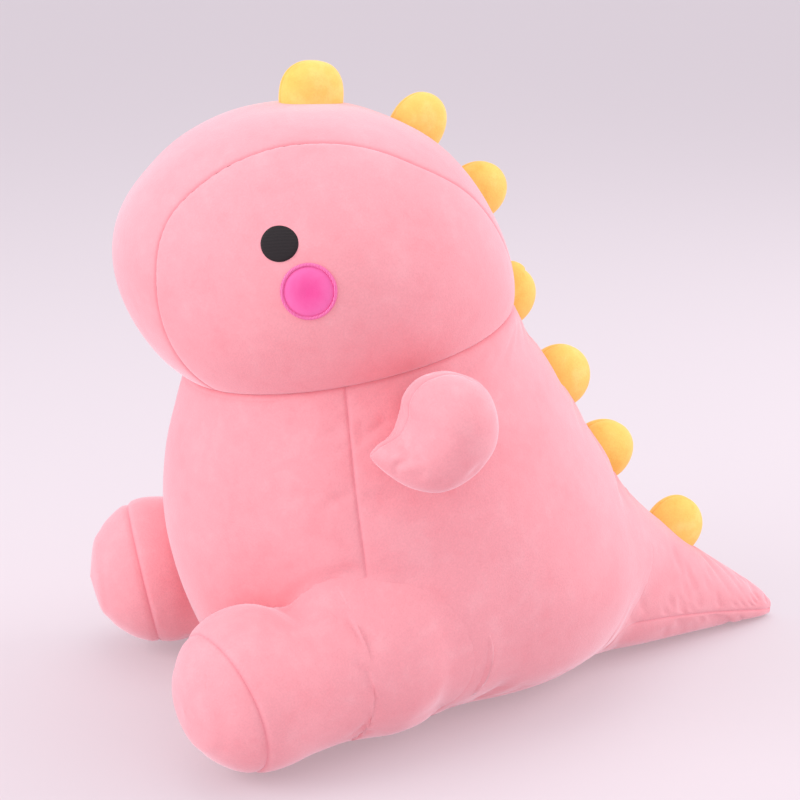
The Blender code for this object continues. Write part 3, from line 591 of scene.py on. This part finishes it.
def math_node(tree, operation, first, second=None, third=None):
    node = tree.nodes.new("ShaderNodeMath")
    node.operation = operation
    for socket, value in zip(node.inputs, (first, second, third)):
        if isinstance(value, (int, float)):
            socket.default_value = value
        elif value is not None:
            tree.links.new(value, socket)
    return node.outputs[0]


def mix_colour(tree, fac, first, second, kind="MIX"):
    node = tree.nodes.new("ShaderNodeMix")
    node.data_type = "RGBA"
    node.blend_type = kind
    for name, value in (("Factor_Float", fac), ("A_Color", first), ("B_Color", second)):
        socket = next(s for s in node.inputs if s.identifier == name)
        if isinstance(value, tuple):
            socket.default_value = (*value, 1.0)
        elif isinstance(value, (int, float)):
            socket.default_value = value
        else:
            tree.links.new(value, socket)
    return next(s for s in node.outputs if s.identifier == "Result_Color")


def weighed(tree, first, first_share, second, second_share):
    """The sum of two values, each times its share."""
    part = math_node(tree, "MULTIPLY", second, second_share)
    return math_node(tree, "MULTIPLY_ADD", first, first_share, part)


def attribute(tree, name, output="Fac"):
    node = tree.nodes.new("ShaderNodeAttribute")
    node.attribute_name = name
    return node.outputs[output]


def new_material(name):
    """A material, its node tree, and the rest places that its patterns stay on."""
    made = bpy.data.materials.new(name)
    made.use_nodes = True
    tree = made.node_tree
    return made, tree, attribute(tree, "place", "Vector")


def finish_material(made, colour, rough, height, strength, distance, constants):
    """Links what varies to the shader, and sets what doesn't."""
    tree = made.node_tree
    shader = tree.nodes["Principled BSDF"]
    tree.links.new(colour, shader.inputs["Base Color"])
    tree.links.new(rough, shader.inputs["Roughness"])
    set_inputs(shader, constants)
    node = tree.nodes.new("ShaderNodeBump")
    set_inputs(node, {"Strength": strength, "Distance": distance})
    tree.links.new(height, node.inputs["Height"])
    tree.links.new(node.outputs["Normal"], shader.inputs["Normal"])
    return made


def plush(name, deep, middle, pale, seam_shade_colour, sheen, tint):
    """Short-pile plush: brushed patches, single tufts, sheen, and painted shade along the seams.
    """
    made, tree, place = new_material(name)
    broad = link_noise(tree, place, 26.0, 3.0, 0.55)
    brushed = link_noise(tree, place, 95.0, 4.0, 0.6)
    tufts = link_noise(tree, place, 900.0, 2.0, 0.6)
    patches = weighed(tree, brushed, 0.45, broad, 0.55)
    colour = ramp(tree, patches, ((0.36, deep), (0.5, middle), (0.64, pale)))
    shade = math_node(tree, "MULTIPLY_ADD", tufts, 0.22, 0.89)
    grey = tree.nodes.new("ShaderNodeCombineColor")
    for socket in grey.inputs:
        tree.links.new(shade, socket)
    colour = mix_colour(tree, 1.0, colour, grey.outputs[0], "MULTIPLY")
    # Painted shade: the seam colour is mixed in along the seam grooves.
    fac = math_node(tree, "MULTIPLY", attribute(tree, "seam"), 0.4)
    colour = mix_colour(tree, fac, colour, seam_shade_colour)
    rough = math_node(tree, "MULTIPLY_ADD", brushed, 0.25, 0.72)
    height = weighed(tree, brushed, 0.5, tufts, 0.5)
    constants = {
        "Specular IOR Level": 0.12,
        "Sheen Weight": sheen,
        "Sheen Roughness": 0.38,
        "Sheen Tint": (*tint, 1.0),
    }
    return finish_material(made, colour, rough, height, 0.35, 0.0012, constants)


def thread(name, dark, light, gloss, across):
    """Embroidery: satin stitches side by side, each a fine ridge, with painted highlight on each
    ridge and painted shade between them.
    """
    made, tree, place = new_material(name)
    wave = tree.nodes.new("ShaderNodeTexWave")
    wave.wave_type = "BANDS"
    wave.bands_direction = across
    set_inputs(wave, {"Scale": 420.0, "Distortion": 1.2, "Detail": 2.0, "Detail Scale": 1.6})
    tree.links.new(place, wave.inputs["Vector"])
    fibre = link_noise(tree, place, 1500.0, 2.0, 0.6)
    fac = weighed(tree, fibre, 0.35, wave.outputs["Fac"], 0.65)
    # Painted highlight and shade: the stitch colour is lighter where the bump is higher and
    # darker between stitches; the fibre noise adds tone that varies at random.
    colour = ramp(tree, fac, ((0.15, dark), (0.85, light)))
    rough = math_node(tree, "MULTIPLY_ADD", fibre, 0.2, gloss)
    constants = {"Sheen Weight": 0.02, "Sheen Roughness": 0.4, "Specular IOR Level": 0.3}
    return finish_material(made, colour, rough, fac, 0.6, 0.0004, constants)


def cheek_cloth():
    """Bright pink applique cloth, deeper towards its middle."""
    made, tree, place = new_material("applique_pink")
    weave = link_noise(tree, place, 700.0, 3.0, 0.6)
    patches = link_noise(tree, place, 160.0, 2.0, 0.5)
    fac = weighed(tree, patches, 0.35, attribute(tree, "middle"), 0.75)
    colour = ramp(tree, fac, ((0.1, (0.90, 0.17, 0.45)), (0.9, (0.86, 0.085, 0.33))))
    rough = math_node(tree, "MULTIPLY_ADD", weave, 0.2, 0.7)
    constants = {"Sheen Weight": 0.3, "Sheen Roughness": 0.4, "Specular IOR Level": 0.2}
    return finish_material(made, colour, rough, weave, 0.35, 0.0006, constants)


# Each plush: deep, middle and pale patch tones, then the colour of the painted shade in its seam
# grooves.
PINK = plush(
    "plush_pink",
    *((0.86, 0.335, 0.372), (0.87, 0.358, 0.396), (0.88, 0.385, 0.422), (0.80, 0.25, 0.30)),
    sheen=1.0,
    tint=(1.0, 0.80, 0.86),
)
YELLOW = plush(
    "plush_yellow",
    *((0.92, 0.54, 0.115), (0.94, 0.61, 0.150), (0.96, 0.68, 0.205), (0.78, 0.36, 0.05)),
    sheen=0.5,
    tint=(1.0, 0.85, 0.55),
)
EYE = thread("thread_black", (0.008, 0.006, 0.007), (0.024, 0.017, 0.019), 0.55, "Z")
BORDER = thread("thread_pink", (0.80, 0.10, 0.34), (0.98, 0.26, 0.52), 0.40, "Y")
CHEEK = cheek_cloth()


def dress(obj, look, body=None, stands_for=()):
    """Gives a finished piece its material, its rest places and its body."""
    obj.data.materials.clear()
    obj.data.materials.append(look)
    co = points_of(obj)
    place = obj.data.attributes.new("place", "FLOAT_VECTOR", "POINT")
    place.data.foreach_set("vector", co.astype(np.float32).ravel())
    if stands_for:
        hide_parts(*stands_for)
    if body:
        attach(obj, body)


# ---- head
def bisect(obj, centre, normal, heights, keep_above):
    """Cuts edge loops where a surface passes some planes, and drops what lies under one."""
    with edited(obj.data) as made:
        for height in heights:
            bmesh.ops.bisect_plane(
                made,
                geom=made.verts[:] + made.edges[:] + made.faces[:],
                dist=1e-7,
                plane_co=Vector(centre + normal * height),
                plane_no=Vector(normal),
                clear_inner=height == keep_above,
            )


def neck_rim(obj, upwards):
    """Rolls the cloth in at the neck seam and closes it with a flange inside."""
    co = points_of(obj)
    away = co - NECK_CENTRE
    height = away @ NECK_NORMAL
    radial = away - height[:, None] * NECK_NORMAL
    radial /= np.maximum(np.linalg.norm(radial, axis=1, keepdims=True), 1e-9)
    near = np.maximum(height * upwards, 0.0)
    roll = NECK_ROLL * np.exp(-((near / NECK_ROLL_WIDTH) ** 1.2))
    roll += upwards * NECK_FLARE * np.exp(-near / NECK_FLARE_WIDTH)
    set_points(obj, co - radial * roll[:, None])
    # Painted shade along the neck seam, where the cloth rolls in.
    paint_seam_shade(obj, np.exp(-((near / NECK_SEAM_WIDTH) ** 2)))

    def off_seam(v):
        return abs((np.array(v.co) - NECK_CENTRE) @ NECK_NORMAL)

    with edited(obj.data) as made:
        edges = [e for e in made.edges if e.is_boundary]
        rim = [e for e in edges if max(map(off_seam, e.verts)) < 4e-4]
        grown = bmesh.ops.extrude_edge_only(made, edges=rim)
        for v in [g for g in grown["geom"] if isinstance(g, bmesh.types.BMVert)]:
            gap = np.array(v.co) - NECK_CENTRE
            gap -= (gap @ NECK_NORMAL) * NECK_NORMAL
            v.co = Vector(np.array(v.co) - NECK_FLANGE * gap / np.linalg.norm(gap))
        bmesh.ops.recalc_face_normals(made, faces=made.faces)
    obj.data.shade_smooth()


def above_neck(co):
    return smooth((co - NECK_CENTRE) @ NECK_NORMAL, 0.0, 0.02)


def make_head():
    around = steps(-80.0, 260.0, 900)
    seams = [head_point(around, side * band_half_width(around)) for _, side in SIDES]
    around = steps(-82.0, 238.0, 250)
    half = band_half_width(around)[:, None]
    columns = crowded(-1.0, 1.0, 60, 0.9)[None, :]
    skins = [grid_mesh("head_band_skin", head_point(around[:, None], half * columns))]
    angles = steps(-90.0, 270.0, 260)[:-1]
    for label, side in SIDES:
        seam = np.arcsin(band_half_width(angles) / HEAD_WIDTH)[None, :]
        lean = seam + (math.pi / 2 - seam) * steps(0.0, 1.0, 60)[:, None] ** FACE_CROWDING
        x = side * HEAD_WIDTH * np.sin(lean)
        points = head_point(np.broadcast_to(angles[None, :], x.shape), x)
        skins.append(grid_mesh(f"face_skin_{label}", points, wrap=True, poles=(False, True)))
    for obj in skins:
        face_out(obj, HEAD_CENTRE)
        bisect(obj, NECK_CENTRE, NECK_NORMAL, (0.0001,) + RIM_HEIGHTS, 0.0001)
        face_out(obj, HEAD_CENTRE)
        for line in seams:
            carve(obj, line, depth=0.0011, bulge=0.0004)
        ripple(obj, size=0.07, height=0.00035, seed=3, share_of=above_neck)
        neck_rim(obj, 1)
        face_out(obj, HEAD_CENTRE)
    band, *faces = skins
    dress(band, PINK, "head", ("head_band", "head_stuffing"))
    for face, (label, _) in zip(faces, SIDES):
        dress(face, PINK, "head", (f"face_panel_{label}",))


# ---- patches on the face
def patch(name, at, radii, heights, side, sides=96):
    """A round patch that follows the cheek: radius by radius, at heights above the cloth."""
    centre = cheek_plain(at[0], at[1], side)
    out = head_normal(centre)
    forwards = np.cross((0.0, 0.0, 1.0), out)
    forwards /= np.linalg.norm(forwards)
    upwards = np.cross(out, forwards)
    a = steps(0.0, 2 * math.pi, sides)[:-1][None, :]
    r = np.array(radii)[:, None]
    place = (np.cos(a) * r)[..., None] * forwards + (np.sin(a) * r)[..., None] * upwards
    place = leaned(centre) + place
    for _ in range(5):
        plain = cheek_plain(place[..., 1], place[..., 2], side)
        normal = head_normal(plain)
        slip = ((leaned(plain) - place) * normal).sum(-1) / (normal @ out)
        place = place + out * slip[..., None]
    place = place + normal * np.array(heights)[:, None, None]
    obj = grid_mesh(name, place, wrap=True, poles=(radii[0] < 1e-9, False))
    middle = obj.data.attributes.new("middle", "FLOAT", "POINT")
    away = np.linalg.norm(points_of(obj) - leaned(centre), axis=1)
    middle.data.foreach_set("value", np.clip(1 - away / max(radii), 0, 1).astype(np.float32))
    if (normals_of(obj) @ out).sum() < 0:
        obj.data.flip_normals()
    return obj


def make_patches():
    for label, side in SIDES:
        radii = np.array((0.0, 0.3, 0.6, 0.8, 0.9, 0.96, 1.0, 1.01)) * EYE_RADIUS
        heights = (0.0014, 0.0014, 0.0013, 0.0012, 0.0011, 0.0008, 0.0003, -0.0012)
        eye = patch(f"eye_stitches_{label}", EYE_AT, radii, heights, side)
        dress(eye, EYE, "head", (f"eye_{label}",))
        radii = np.array((0.0, 0.25, 0.5, 0.75, 0.9, 1.0, 1.03)) * CHEEK_RADIUS
        heights = (0.0006, 0.0010, 0.0013, 0.0013, 0.0009, 0.0004, -0.001)
        cheek = patch(f"cheek_applique_{label}", CHEEK_AT, radii, heights, side)
        dress(cheek, CHEEK, "head", (f"cheek_{label}",))
        inner = CHEEK_RADIUS - 0.0001
        turns = steps(0.0, math.pi, 8)
        radii = inner + BORDER_WIDTH / 2 * (1 - np.cos(turns))
        heights = np.sin(turns) * 0.0013 + 0.0002
        radii = np.concatenate([[inner], radii, [inner + BORDER_WIDTH]])
        heights = np.concatenate([[-0.001], heights, [-0.001]])
        border = patch(f"cheek_stitches_{label}", CHEEK_AT, radii, heights, side, 160)
        dress(border, BORDER, "head", (f"cheek_border_{label}",))


# ---- body, legs and tail
def body_grid(shares, count, crowd):
    """Angles and shares of the body whose columns follow the side seams and the back."""
    shares = np.asarray(shares)[:, None]
    seam = side_seam(shares)
    belly = crowded(-1.0, 1.0, count, crowd)[None, :] * seam
    flank = crowded(0.0, 1.0, count, crowd)[None, 1:]
    left = seam + (180.0 - seam) * flank
    angles = np.concatenate([belly, left, 360.0 - left[:, -2::-1]], axis=1)
    return angles, np.broadcast_to(shares, angles.shape)


def sole_shift(side, angle):
    """How far along the leg the seam of the sole strays from its place in the CAD."""
    ahead, tilt = (0.005, 0.0075) if side > 0 else (-0.004, 0.006)
    return ahead + tilt * np.cos(np.radians(angle))


def root_seam(obj, tree):
    """The seam where the tail is sewn on: a groove along a plane, close to the neighbour."""
    co, n = points_of(obj), normals_of(obj)
    d = np.abs((co - TAIL_ROOT) @ TAIL_ROOT_NORMAL)
    chosen = np.flatnonzero(d < 0.012)
    near, _ = signed(tree, co[chosen])
    d, keep = d[chosen], 1 - smooth(np.abs(near), 0.014, 0.024)
    move = groove(d, depth=0.0018, width=0.0016, bulge=0.0006, bulge_width=0.005) * keep
    co[chosen] += n[chosen] * move[:, None]
    set_points(obj, co)
    # Painted shade along the bottom of the tail's root seam groove.
    share = np.zeros(len(co))
    share[chosen] = np.exp(-((d / 0.001) ** 2)) * keep
    paint_seam_shade(obj, share)


def refine(obj, wanted):
    """Cuts the faces smaller where a test of their corners says so."""
    with edited(obj.data) as made:
        near = wanted(np.array([v.co for v in made.verts]))
        edges = [e for e in made.edges if near[e.verts[0].index] and near[e.verts[1].index]]
        bmesh.ops.subdivide_edges(made, edges=edges, cuts=3, use_grid_fill=True, smooth=0.0)
    obj.data.shade_smooth()


def before_tail(co):
    return co[:, 1] < TAIL_ROOT[1]


def by_tail_root(co):
    return (np.abs((co - TAIL_ROOT) @ TAIL_ROOT_NORMAL) < 0.007) & (np.abs(co[:, 0]) < 0.09)


def rest_on_floor(obj):
    """Flattens what would sink into the floor."""
    co = points_of(obj)
    t, soft = co[:, 2] - FLOOR_HEIGHT, FLOOR_SOFTNESS
    eased = FLOOR_HEIGHT + np.maximum(t + soft, 0) ** 2 / (4 * soft)
    co[:, 2] = np.where(t > soft, co[:, 2], eased)
    set_points(obj, co)


def torso_mesh(name, low_rows, rows, count, crowd):
    shares = crowded(0.0, SEAT_SEAM, low_rows, crowd)
    shares = np.concatenate([shares, crowded(SEAT_SEAM, 1.0, rows, crowd)[1:]])
    points = body_point(*body_grid(shares, count, crowd))
    floor = np.array(BODY_FLOOR)
    rings = [floor + (points[0] - floor) * t for t in steps(0.0, 1.0, 14)[:-1]]
    points = np.concatenate([np.array(rings), points])
    torso = grid_mesh(name, points, wrap=True, poles=(True, False))
    return face_out(torso, BODY_MIDDLE)


def leg_mesh(name, side, rows, sides):
    """The leg's skin, with more rows at its round ends and beside the seam of the sole."""
    tube = steps(LEG_START, 0.03, rows)[:-1]
    foot = crowded(0.03, SOLE_SEAM, rows), crowded(SOLE_SEAM, LEG_END, rows)[1:]
    end = (1 - np.sin(steps(0.0, math.pi / 2, rows // 3))) * LEG_END_LENGTH
    distances = np.concatenate([tube, *foot, LEG_START + end, LEG_END - end])
    distances = np.unique(np.round(distances, 6))
    d, a = np.meshgrid(distances, steps(0.0, 360.0, sides)[:-1], indexing="ij")
    shift = sole_shift(side, a) * smooth(d, 0.03, SOLE_SEAM)
    d = d + shift * np.clip((LEG_END - d) / (LEG_END - SOLE_SEAM), 0.0, 1.0)
    leg = grid_mesh(name, leg_point(side, d, a), wrap=True, poles=(True, True))
    hip, ahead, _, _ = leg_axes(side)
    return face_out(leg, hip + ahead * 0.03)


def round_end(ring, reach, count):
    """The rings of a round end, which closes a tube and reaches this far along y."""
    t = steps(0.0, math.pi / 2, count)[1:, None, None]
    middle = ring.mean(0)
    return middle + (ring - middle) * np.cos(t) + reach * np.sin(t) * np.array((0, 1, 0))


def tail_mesh(name, rows, columns):
    edge = TAIL_EDGE
    parts = [crowded(0.0, edge, columns), crowded(edge, 360.0 - edge, columns)[1:]]
    parts.append(crowded(360.0 - edge, 360.0, columns)[1:-1])
    s, a = np.meshgrid(steps(0.0, 1.0, rows), np.concatenate(parts), indexing="ij")
    points = tail_point(a, s)
    inside = round_end(points[0], -TAIL_INSIDE, 10)[::-1]
    points = np.concatenate([inside, points, round_end(points[-1], TAIL_TIP, 8)])
    return face_out(grid_mesh(name, points, wrap=True, poles=(True, True)), (0, 0.18, 0.03))


def body_lines():
    """The seams of the body: both sides, the back, the neck and the seat."""
    s = steps(SEAT_SEAM, 1.0, 900)
    sides = [body_point(side * side_seam(s), s) for _, side in SIDES]
    back = body_point(np.full(len(s), 180.0), s)
    around = steps(0.0, 360.0, 900)
    rings = [body_point(around, np.full(len(around), share)) for share in (SEAT_SEAM, 1.0)]
    return sides, back, rings


def sole_line(side):
    around = steps(0.0, 360.0, 700)
    return leg_point(side, SOLE_SEAM + sole_shift(side, around), around)


def tail_lines():
    s = steps(0.0, 1.0, 500)
    angles = (0.0, TAIL_EDGE, 360.0 - TAIL_EDGE)
    return [tail_point(np.full(len(s), angle), s) for angle in angles]


def make_skins():
    sides, back, rings = body_lines()
    torso = torso_mesh("body_skin", 24, 130, 90, 0.82)
    cloth = torso_mesh("body_cloth", 6, 40, 34, 0.0)
    swell(torso, cloth, [*sides, back, *rings], most=0.0020, slack=0.018)
    refine(torso, by_tail_root)
    legs = []
    for label, side in SIDES:
        leg = leg_mesh(f"leg_skin_{label}", side, 36, 150)
        hip, ahead, _, _ = leg_axes(side)
        cloth = leg_mesh(f"leg_cloth_{label}", side, 12, 54)

        def in_body(co):
            return (co - hip) @ ahead < -0.02

        swell(leg, cloth, [sole_line(side)], most=0.0014, slack=0.02, held=in_body)
        legs.append(leg)
    tail = tail_mesh("tail_skin", 110, 44)
    cloth = tail_mesh("tail_cloth", 34, 12)
    swell(tail, cloth, tail_lines(), most=0.0008, slack=0.008, held=before_tail)

    torso_tree, tail_tree = tree_of(torso), tree_of(tail)
    leg_trees = [tree_of(leg) for leg in legs]

    def hip_reach(co):
        """How softly thigh and body run into each other: a crease in front, none elsewhere."""
        behind = smooth(co[:, 1], -0.052, 0.005)
        under = smooth(0.045 - co[:, 2], 0.0, 0.030)
        return CREASE_REACH + SOFT_REACH * np.maximum(behind, under)

    def tail_reach(co):
        return 0.012 + 0.024 * smooth(co[:, 2], 0.04, 0.08)

    join_softly(torso, leg_trees, hip_reach)
    join_softly(torso, [tail_tree], tail_reach)
    for leg in legs:
        join_softly(leg, [torso_tree], hip_reach, ROOT_DIVE)
    join_softly(tail, [torso_tree], tail_reach, ROOT_DIVE)

    root_seam(torso, tail_tree)
    root_seam(tail, torso_tree)
    for (_, side), leg in zip(SIDES, legs):
        crease, fold = np.array(THIGH_CREASE) * (side, 1, 1), np.array(THIGH_FOLD) * (side, 1, 1)
        marks = [(a, b, CREASE_RADIUS, CREASE_DEPTH) for a, b in zip(crease, crease[1:])]
        marks += [(a, b, FOLD_RADIUS, FOLD_DEPTH) for a, b in zip(fold, fold[1:])]
        press(torso, marks)
        press(leg, marks)
    for obj in (torso, tail, *legs):
        rest_on_floor(obj)
    for line in sides:
        carve(torso, line)
    carve(torso, back, bulge=0.0002)
    neck_rim(torso, -1)
    face_out(torso, BODY_MIDDLE)
    names = ("belly_panel", "side_panel_left", "side_panel_right", "seat_panel", "body_stuffing")
    dress(torso, PINK, "torso", names)

    for leg, (label, side) in zip(legs, SIDES):
        carve(leg, sole_line(side))
        parts = ("leg_outer_panel", "leg_inner_panel", "sole_panel", "leg_stuffing")
        dress(leg, PINK, None, [f"{part}_{label}" for part in parts])
        hip, ahead, _, _ = leg_axes(side)
        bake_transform(leg)

    for line in tail_lines():
        carve(tail, line, depth=0.0009, width=0.0010, bulge=0.0002)
    names = ("tail_panel_left", "tail_panel_right", "tail_underside", "tail_stuffing")
    dress(tail, PINK, None, names)
    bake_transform(tail)


# ---- arms
# Along the arm from its top to its tip: middle y, z, half width as a vector y, z, half thickness.
ARM_SECTIONS = (
    (-0.0140, 0.2370, -0.0015, 0.0010, 0.003), (-0.0185, 0.2355, -0.0110, 0.0065, 0.016),
    (-0.0225, 0.2300, -0.0185, 0.0105, 0.024), (-0.0260, 0.2225, -0.0230, 0.0135, 0.029),
    (-0.0300, 0.2130, -0.0240, 0.0155, 0.031), (-0.0350, 0.2035, -0.0195, 0.0170, 0.030),
    (-0.0420, 0.1965, -0.0150, 0.0180, 0.027), (-0.0500, 0.1925, -0.0105, 0.0170, 0.023),
    (-0.0595, 0.1925, -0.0068, 0.0138, 0.017), (-0.0670, 0.1945, -0.0040, 0.0098, 0.011),
    (-0.0730, 0.1970, -0.0015, 0.0050, 0.0055), (-0.0770, 0.1993, 0.0, 0.0012, 0.0012),
)


def arm_mesh(name, side, rows, turns):
    """The arm's skin and its two seams, which run along the outline."""
    share = crowded(0.0, 1.0, rows, 0.5)
    y, z, half_y, half_z, thick = np.moveaxis(along(ARM_SECTIONS, share), -1, 0)[..., None]
    half_turn = crowded(0.0, math.pi, turns, 0.5)[:-1]
    a = np.concatenate([half_turn, math.pi + half_turn])[None, :]
    across = np.sign(np.cos(a)) * np.abs(np.cos(a)) ** 0.95
    x = side * (ARM_SEAM_X + thick * np.sin(a))
    points = stack(x, y + half_y * across, z + half_z * across)
    seams = [finer(line, (0.0, 0.33, 0.67)) for line in (points[:, 0], points[:, turns])]
    first, last = points[0].mean(0) + (0, 0.0005, 0), points[-1].mean(0) - (0, 0.0008, 0)
    caps = [np.broadcast_to(end, points[:1].shape) for end in (first, last)]
    points = np.concatenate([caps[0], points, caps[1]])
    arm = grid_mesh(name, points, wrap=True, poles=(True, True))
    face_out(arm, (side * ARM_SEAM_X, -0.03, 0.205))
    co = points_of(arm)
    inwards = smooth(ARM_SEAM_X - np.abs(co[:, 0]), 0.0, 0.02)
    near = np.hypot(co[:, 1] - SHOULDER[1], co[:, 2] - SHOULDER[2])
    # The inner side runs in to the shoulder, round its pivot.
    co[:, 0] -= side * SHOULDER_REACH * inwards * np.exp(-((near / SHOULDER_RADIUS) ** 4))
    set_points(arm, co)
    return arm, seams


def arm_ends(co):
    return (np.abs(co[:, 0]) < 0.125) | (co[:, 1] < -0.068)


ARM_DIMPLES = (
    ((0.168, -0.045, 0.189), (0.168, -0.043, 0.188), 0.0034, 0.0022),
    ((0.166, -0.056, 0.192), (0.166, -0.053, 0.193), 0.0026, 0.0014),
    ((0.158, -0.067, 0.196), (0.164, -0.059, 0.200), 0.0022, 0.0012),
    ((0.172, -0.020, 0.196), (0.170, -0.028, 0.186), 0.0040, 0.0010),
    ((0.160, -0.016, 0.230), (0.168, -0.028, 0.222), 0.0050, 0.0010),
)


def make_arms():
    for label, side in SIDES:
        arm, seams = arm_mesh(f"arm_skin_{label}", side, 110, 56)
        cloth, _ = arm_mesh(f"arm_cloth_{label}", side, 34, 16)
        swell(arm, cloth, seams, most=0.0014, slack=0.02, held=arm_ends)
        for line in seams:
            carve(arm, line, depth=0.0008)
        turned = np.array((side, 1, 1))
        press(arm, [(a * turned, b * turned, r, deep) for a, b, r, deep in ARM_DIMPLES])
        names = [f"arm_{part}_{label}" for part in ("outer_panel", "inner_panel", "stuffing")]
        dress(arm, PINK, f"{label}_arm", names)


# ---- spikes
def spike_base(kind, place):
    """Where a spike stands: a function of the distance along the back and across it."""
    if kind == "head":
        around = (HEAD_LENGTH + HEAD_HEIGHT) / 2
        return lambda ahead, x: head_point(place + np.degrees(ahead / around), x)
    if kind == "nape":
        ring = np.linalg.norm(body_point(180.0, np.array(1.0)) - NECK_CENTRE)

        def on_nape(ahead, x):
            down = ahead + place
            share = 1 - np.maximum(down, 0) / NAPE_LENGTH
            under = body_point(180.0 - np.degrees(x / BACK_RADIUS), share)
            back = np.sqrt(np.maximum((ring + NAPE_GAP) ** 2 - x**2, 0))
            over = NECK_CENTRE - NECK_NORMAL * down[..., None] - NECK_AHEAD * back[..., None]
            over = over + stack(x, 0 * x, 0 * x)
            return np.where((down > 0)[..., None], under, over)

        return on_nape
    if kind == "body":
        return lambda ahead, x: body_point(
            180.0 - np.degrees(x / BACK_RADIUS), place - ahead / BACK_LENGTH
        )

    def on_tail(ahead, x):
        keys = [row[0] for row in TAIL_ROWS]
        share = np.interp(place + ahead * 0.80, keys, np.linspace(0, 1, len(keys)))
        point = tail_point(np.zeros_like(share), share)
        return point + stack(x, 0 * x, 0.0005 - x * x / 0.09)

    return on_tail


SPIKE_THICKNESS, SPIKE_MIDDLE, SPIKE_TURN, SPIKE_COLUMNS = 0.0155, 0.0030, 112.0, 44
# What a spike stands on, its place there, its radius, and the power that shapes its dome.
SPIKES = (
    ("head", 87.0, 0.0172, 0.78), ("head", 124.0, 0.0200, 0.9), ("head", 158.0, 0.0205, 0.95),
    ("nape", 0.008, 0.0205, 1.0), ("body", 0.764, 0.0205, 1.0), ("body", 0.598, 0.0205, 1.0),
    ("tail", 0.2025, 0.0205, 0.95),
)


def make_spikes():
    for number, (kind, place, radius, power) in enumerate(SPIKES, start=1):
        on_back = spike_base(kind, place)
        near = np.array((0.005, -0.005, 0.0))
        ends = on_back(near, np.zeros(3))
        forwards = ends[0] - ends[1]
        forwards /= np.linalg.norm(forwards)
        out = np.cross((-1.0, 0.0, 0.0), forwards)
        if out @ (ends[2] - (0, 0, 0.1)) < 0:
            out = -out
        share = np.concatenate([steps(0.0, 0.9, 30), steps(0.92, 1.0, 6)])[:, None]
        half_turn = crowded(0.0, 180.0, SPIKE_COLUMNS)[:-1]
        a = np.radians(np.concatenate([half_turn, 180.0 + half_turn]))[None, :]
        turn = share * math.radians(SPIKE_TURN)
        spread = np.sin(np.minimum(turn, math.pi / 2)) ** power
        spread = np.where(turn > math.pi / 2, np.sin(turn), spread)
        rise = np.where(turn < math.pi / 2, np.abs(np.cos(turn)) ** power, np.cos(turn))
        height = SPIKE_MIDDLE + (SPIKE_HEIGHT - SPIKE_MIDDLE) * rise
        ahead = radius * spread * np.cos(a)
        x = SPIKE_THICKNESS * np.sin(np.minimum(turn, math.pi / 2)) ** 0.9 * np.sin(a)
        points = on_back(ahead, x) + out * height[..., None]
        spike = grid_mesh(f"spike_{number}_skin", points, wrap=True, poles=(True, False))
        face_out(spike, ends[2])
        ridges = [finer(points[:, i], (0, 0.25, 0.5, 0.75)) for i in (0, SPIKE_COLUMNS)]
        carve(spike, np.concatenate(ridges), depth=0.0007, width=0.0010, bulge=0.0)
        names = [f"spike_{number}_{part}" for part in ("left", "right", "stuffing")]
        body = {"head": "head", "nape": "torso", "body": "torso", "tail": "tail"}[kind]
        dress(spike, YELLOW, body, names)


# ---- stage
FLOOR_REACH = 30.0
CAMERA_PLACE, CAMERA_TARGET, CAMERA_LENS = (1.1195, -0.4523, 0.5110), (0.0, 0.0, 0.1875), 87.75


def make_stage():
    mesh = bpy.data.meshes.new("floor")
    r = FLOOR_REACH
    mesh.from_pydata([(-r, -r, 0), (r, -r, 0), (r, r, 0), (-r, r, 0)], [], [(0, 1, 2, 3)])
    floor = add_object("floor", mesh)
    made = bpy.data.materials.new("floor_pale")
    made.use_nodes = True
    looks = {
        "Base Color": (0.47, 0.43, 0.455, 1.0),
        "Emission Color": (0.92, 0.82, 0.88, 1.0),
        "Emission Strength": 0.30,
        "Roughness": 0.9,
        "Specular IOR Level": 0.1,
    }
    set_inputs(made.node_tree.nodes["Principled BSDF"], looks)
    mesh.materials.append(made)

    world = bpy.data.worlds.new("studio")
    world.use_nodes = True
    back = world.node_tree.nodes["Background"]
    set_inputs(back, {"Color": (0.97, 0.93, 1.0, 1.0), "Strength": 0.92})
    scene.world = world

    def add(name, data, place, target):
        obj = add_object(name, data)
        obj.location = place
        obj.rotation_euler = (Vector(target) - obj.location).to_track_quat("-Z", "Y").to_euler()
        return obj

    def lamp(name, place, target, size, energy, colour):
        data = bpy.data.lights.new(name, "AREA")
        data.shape, data.size, data.energy, data.color = "DISK", size, energy, colour
        add(name, data, place, target)

    lamp("top_light", (-0.2, 0.2, 2.0), (0, 0, 0.2), 1.6, 8.0, (1.0, 0.99, 0.98))
    lamp("back_light", (0.3, 1.9, 1.1), (0, 0, 0.2), 1.5, 18.0, (1.0, 0.98, 0.98))
    lamp("front_light", (0.0, -1.9, 1.1), (0, 0, 0.25), 1.5, 19.0, (1.0, 0.98, 0.99))
    lamp("fill_light", (1.7, -0.9, 0.35), (0, 0, 0.25), 1.4, 4.0, (1.0, 0.99, 1.0))

    data = bpy.data.cameras.new("camera")
    data.sensor_width, data.lens = 36.0, CAMERA_LENS
    data.clip_start, data.clip_end = 0.05, 100.0
    scene.camera = add("camera", data, CAMERA_PLACE, CAMERA_TARGET)
    scene.view_settings.view_transform = "Standard"


make_stage()
make_head()
make_patches()
make_skins()
make_arms()
make_spikes()
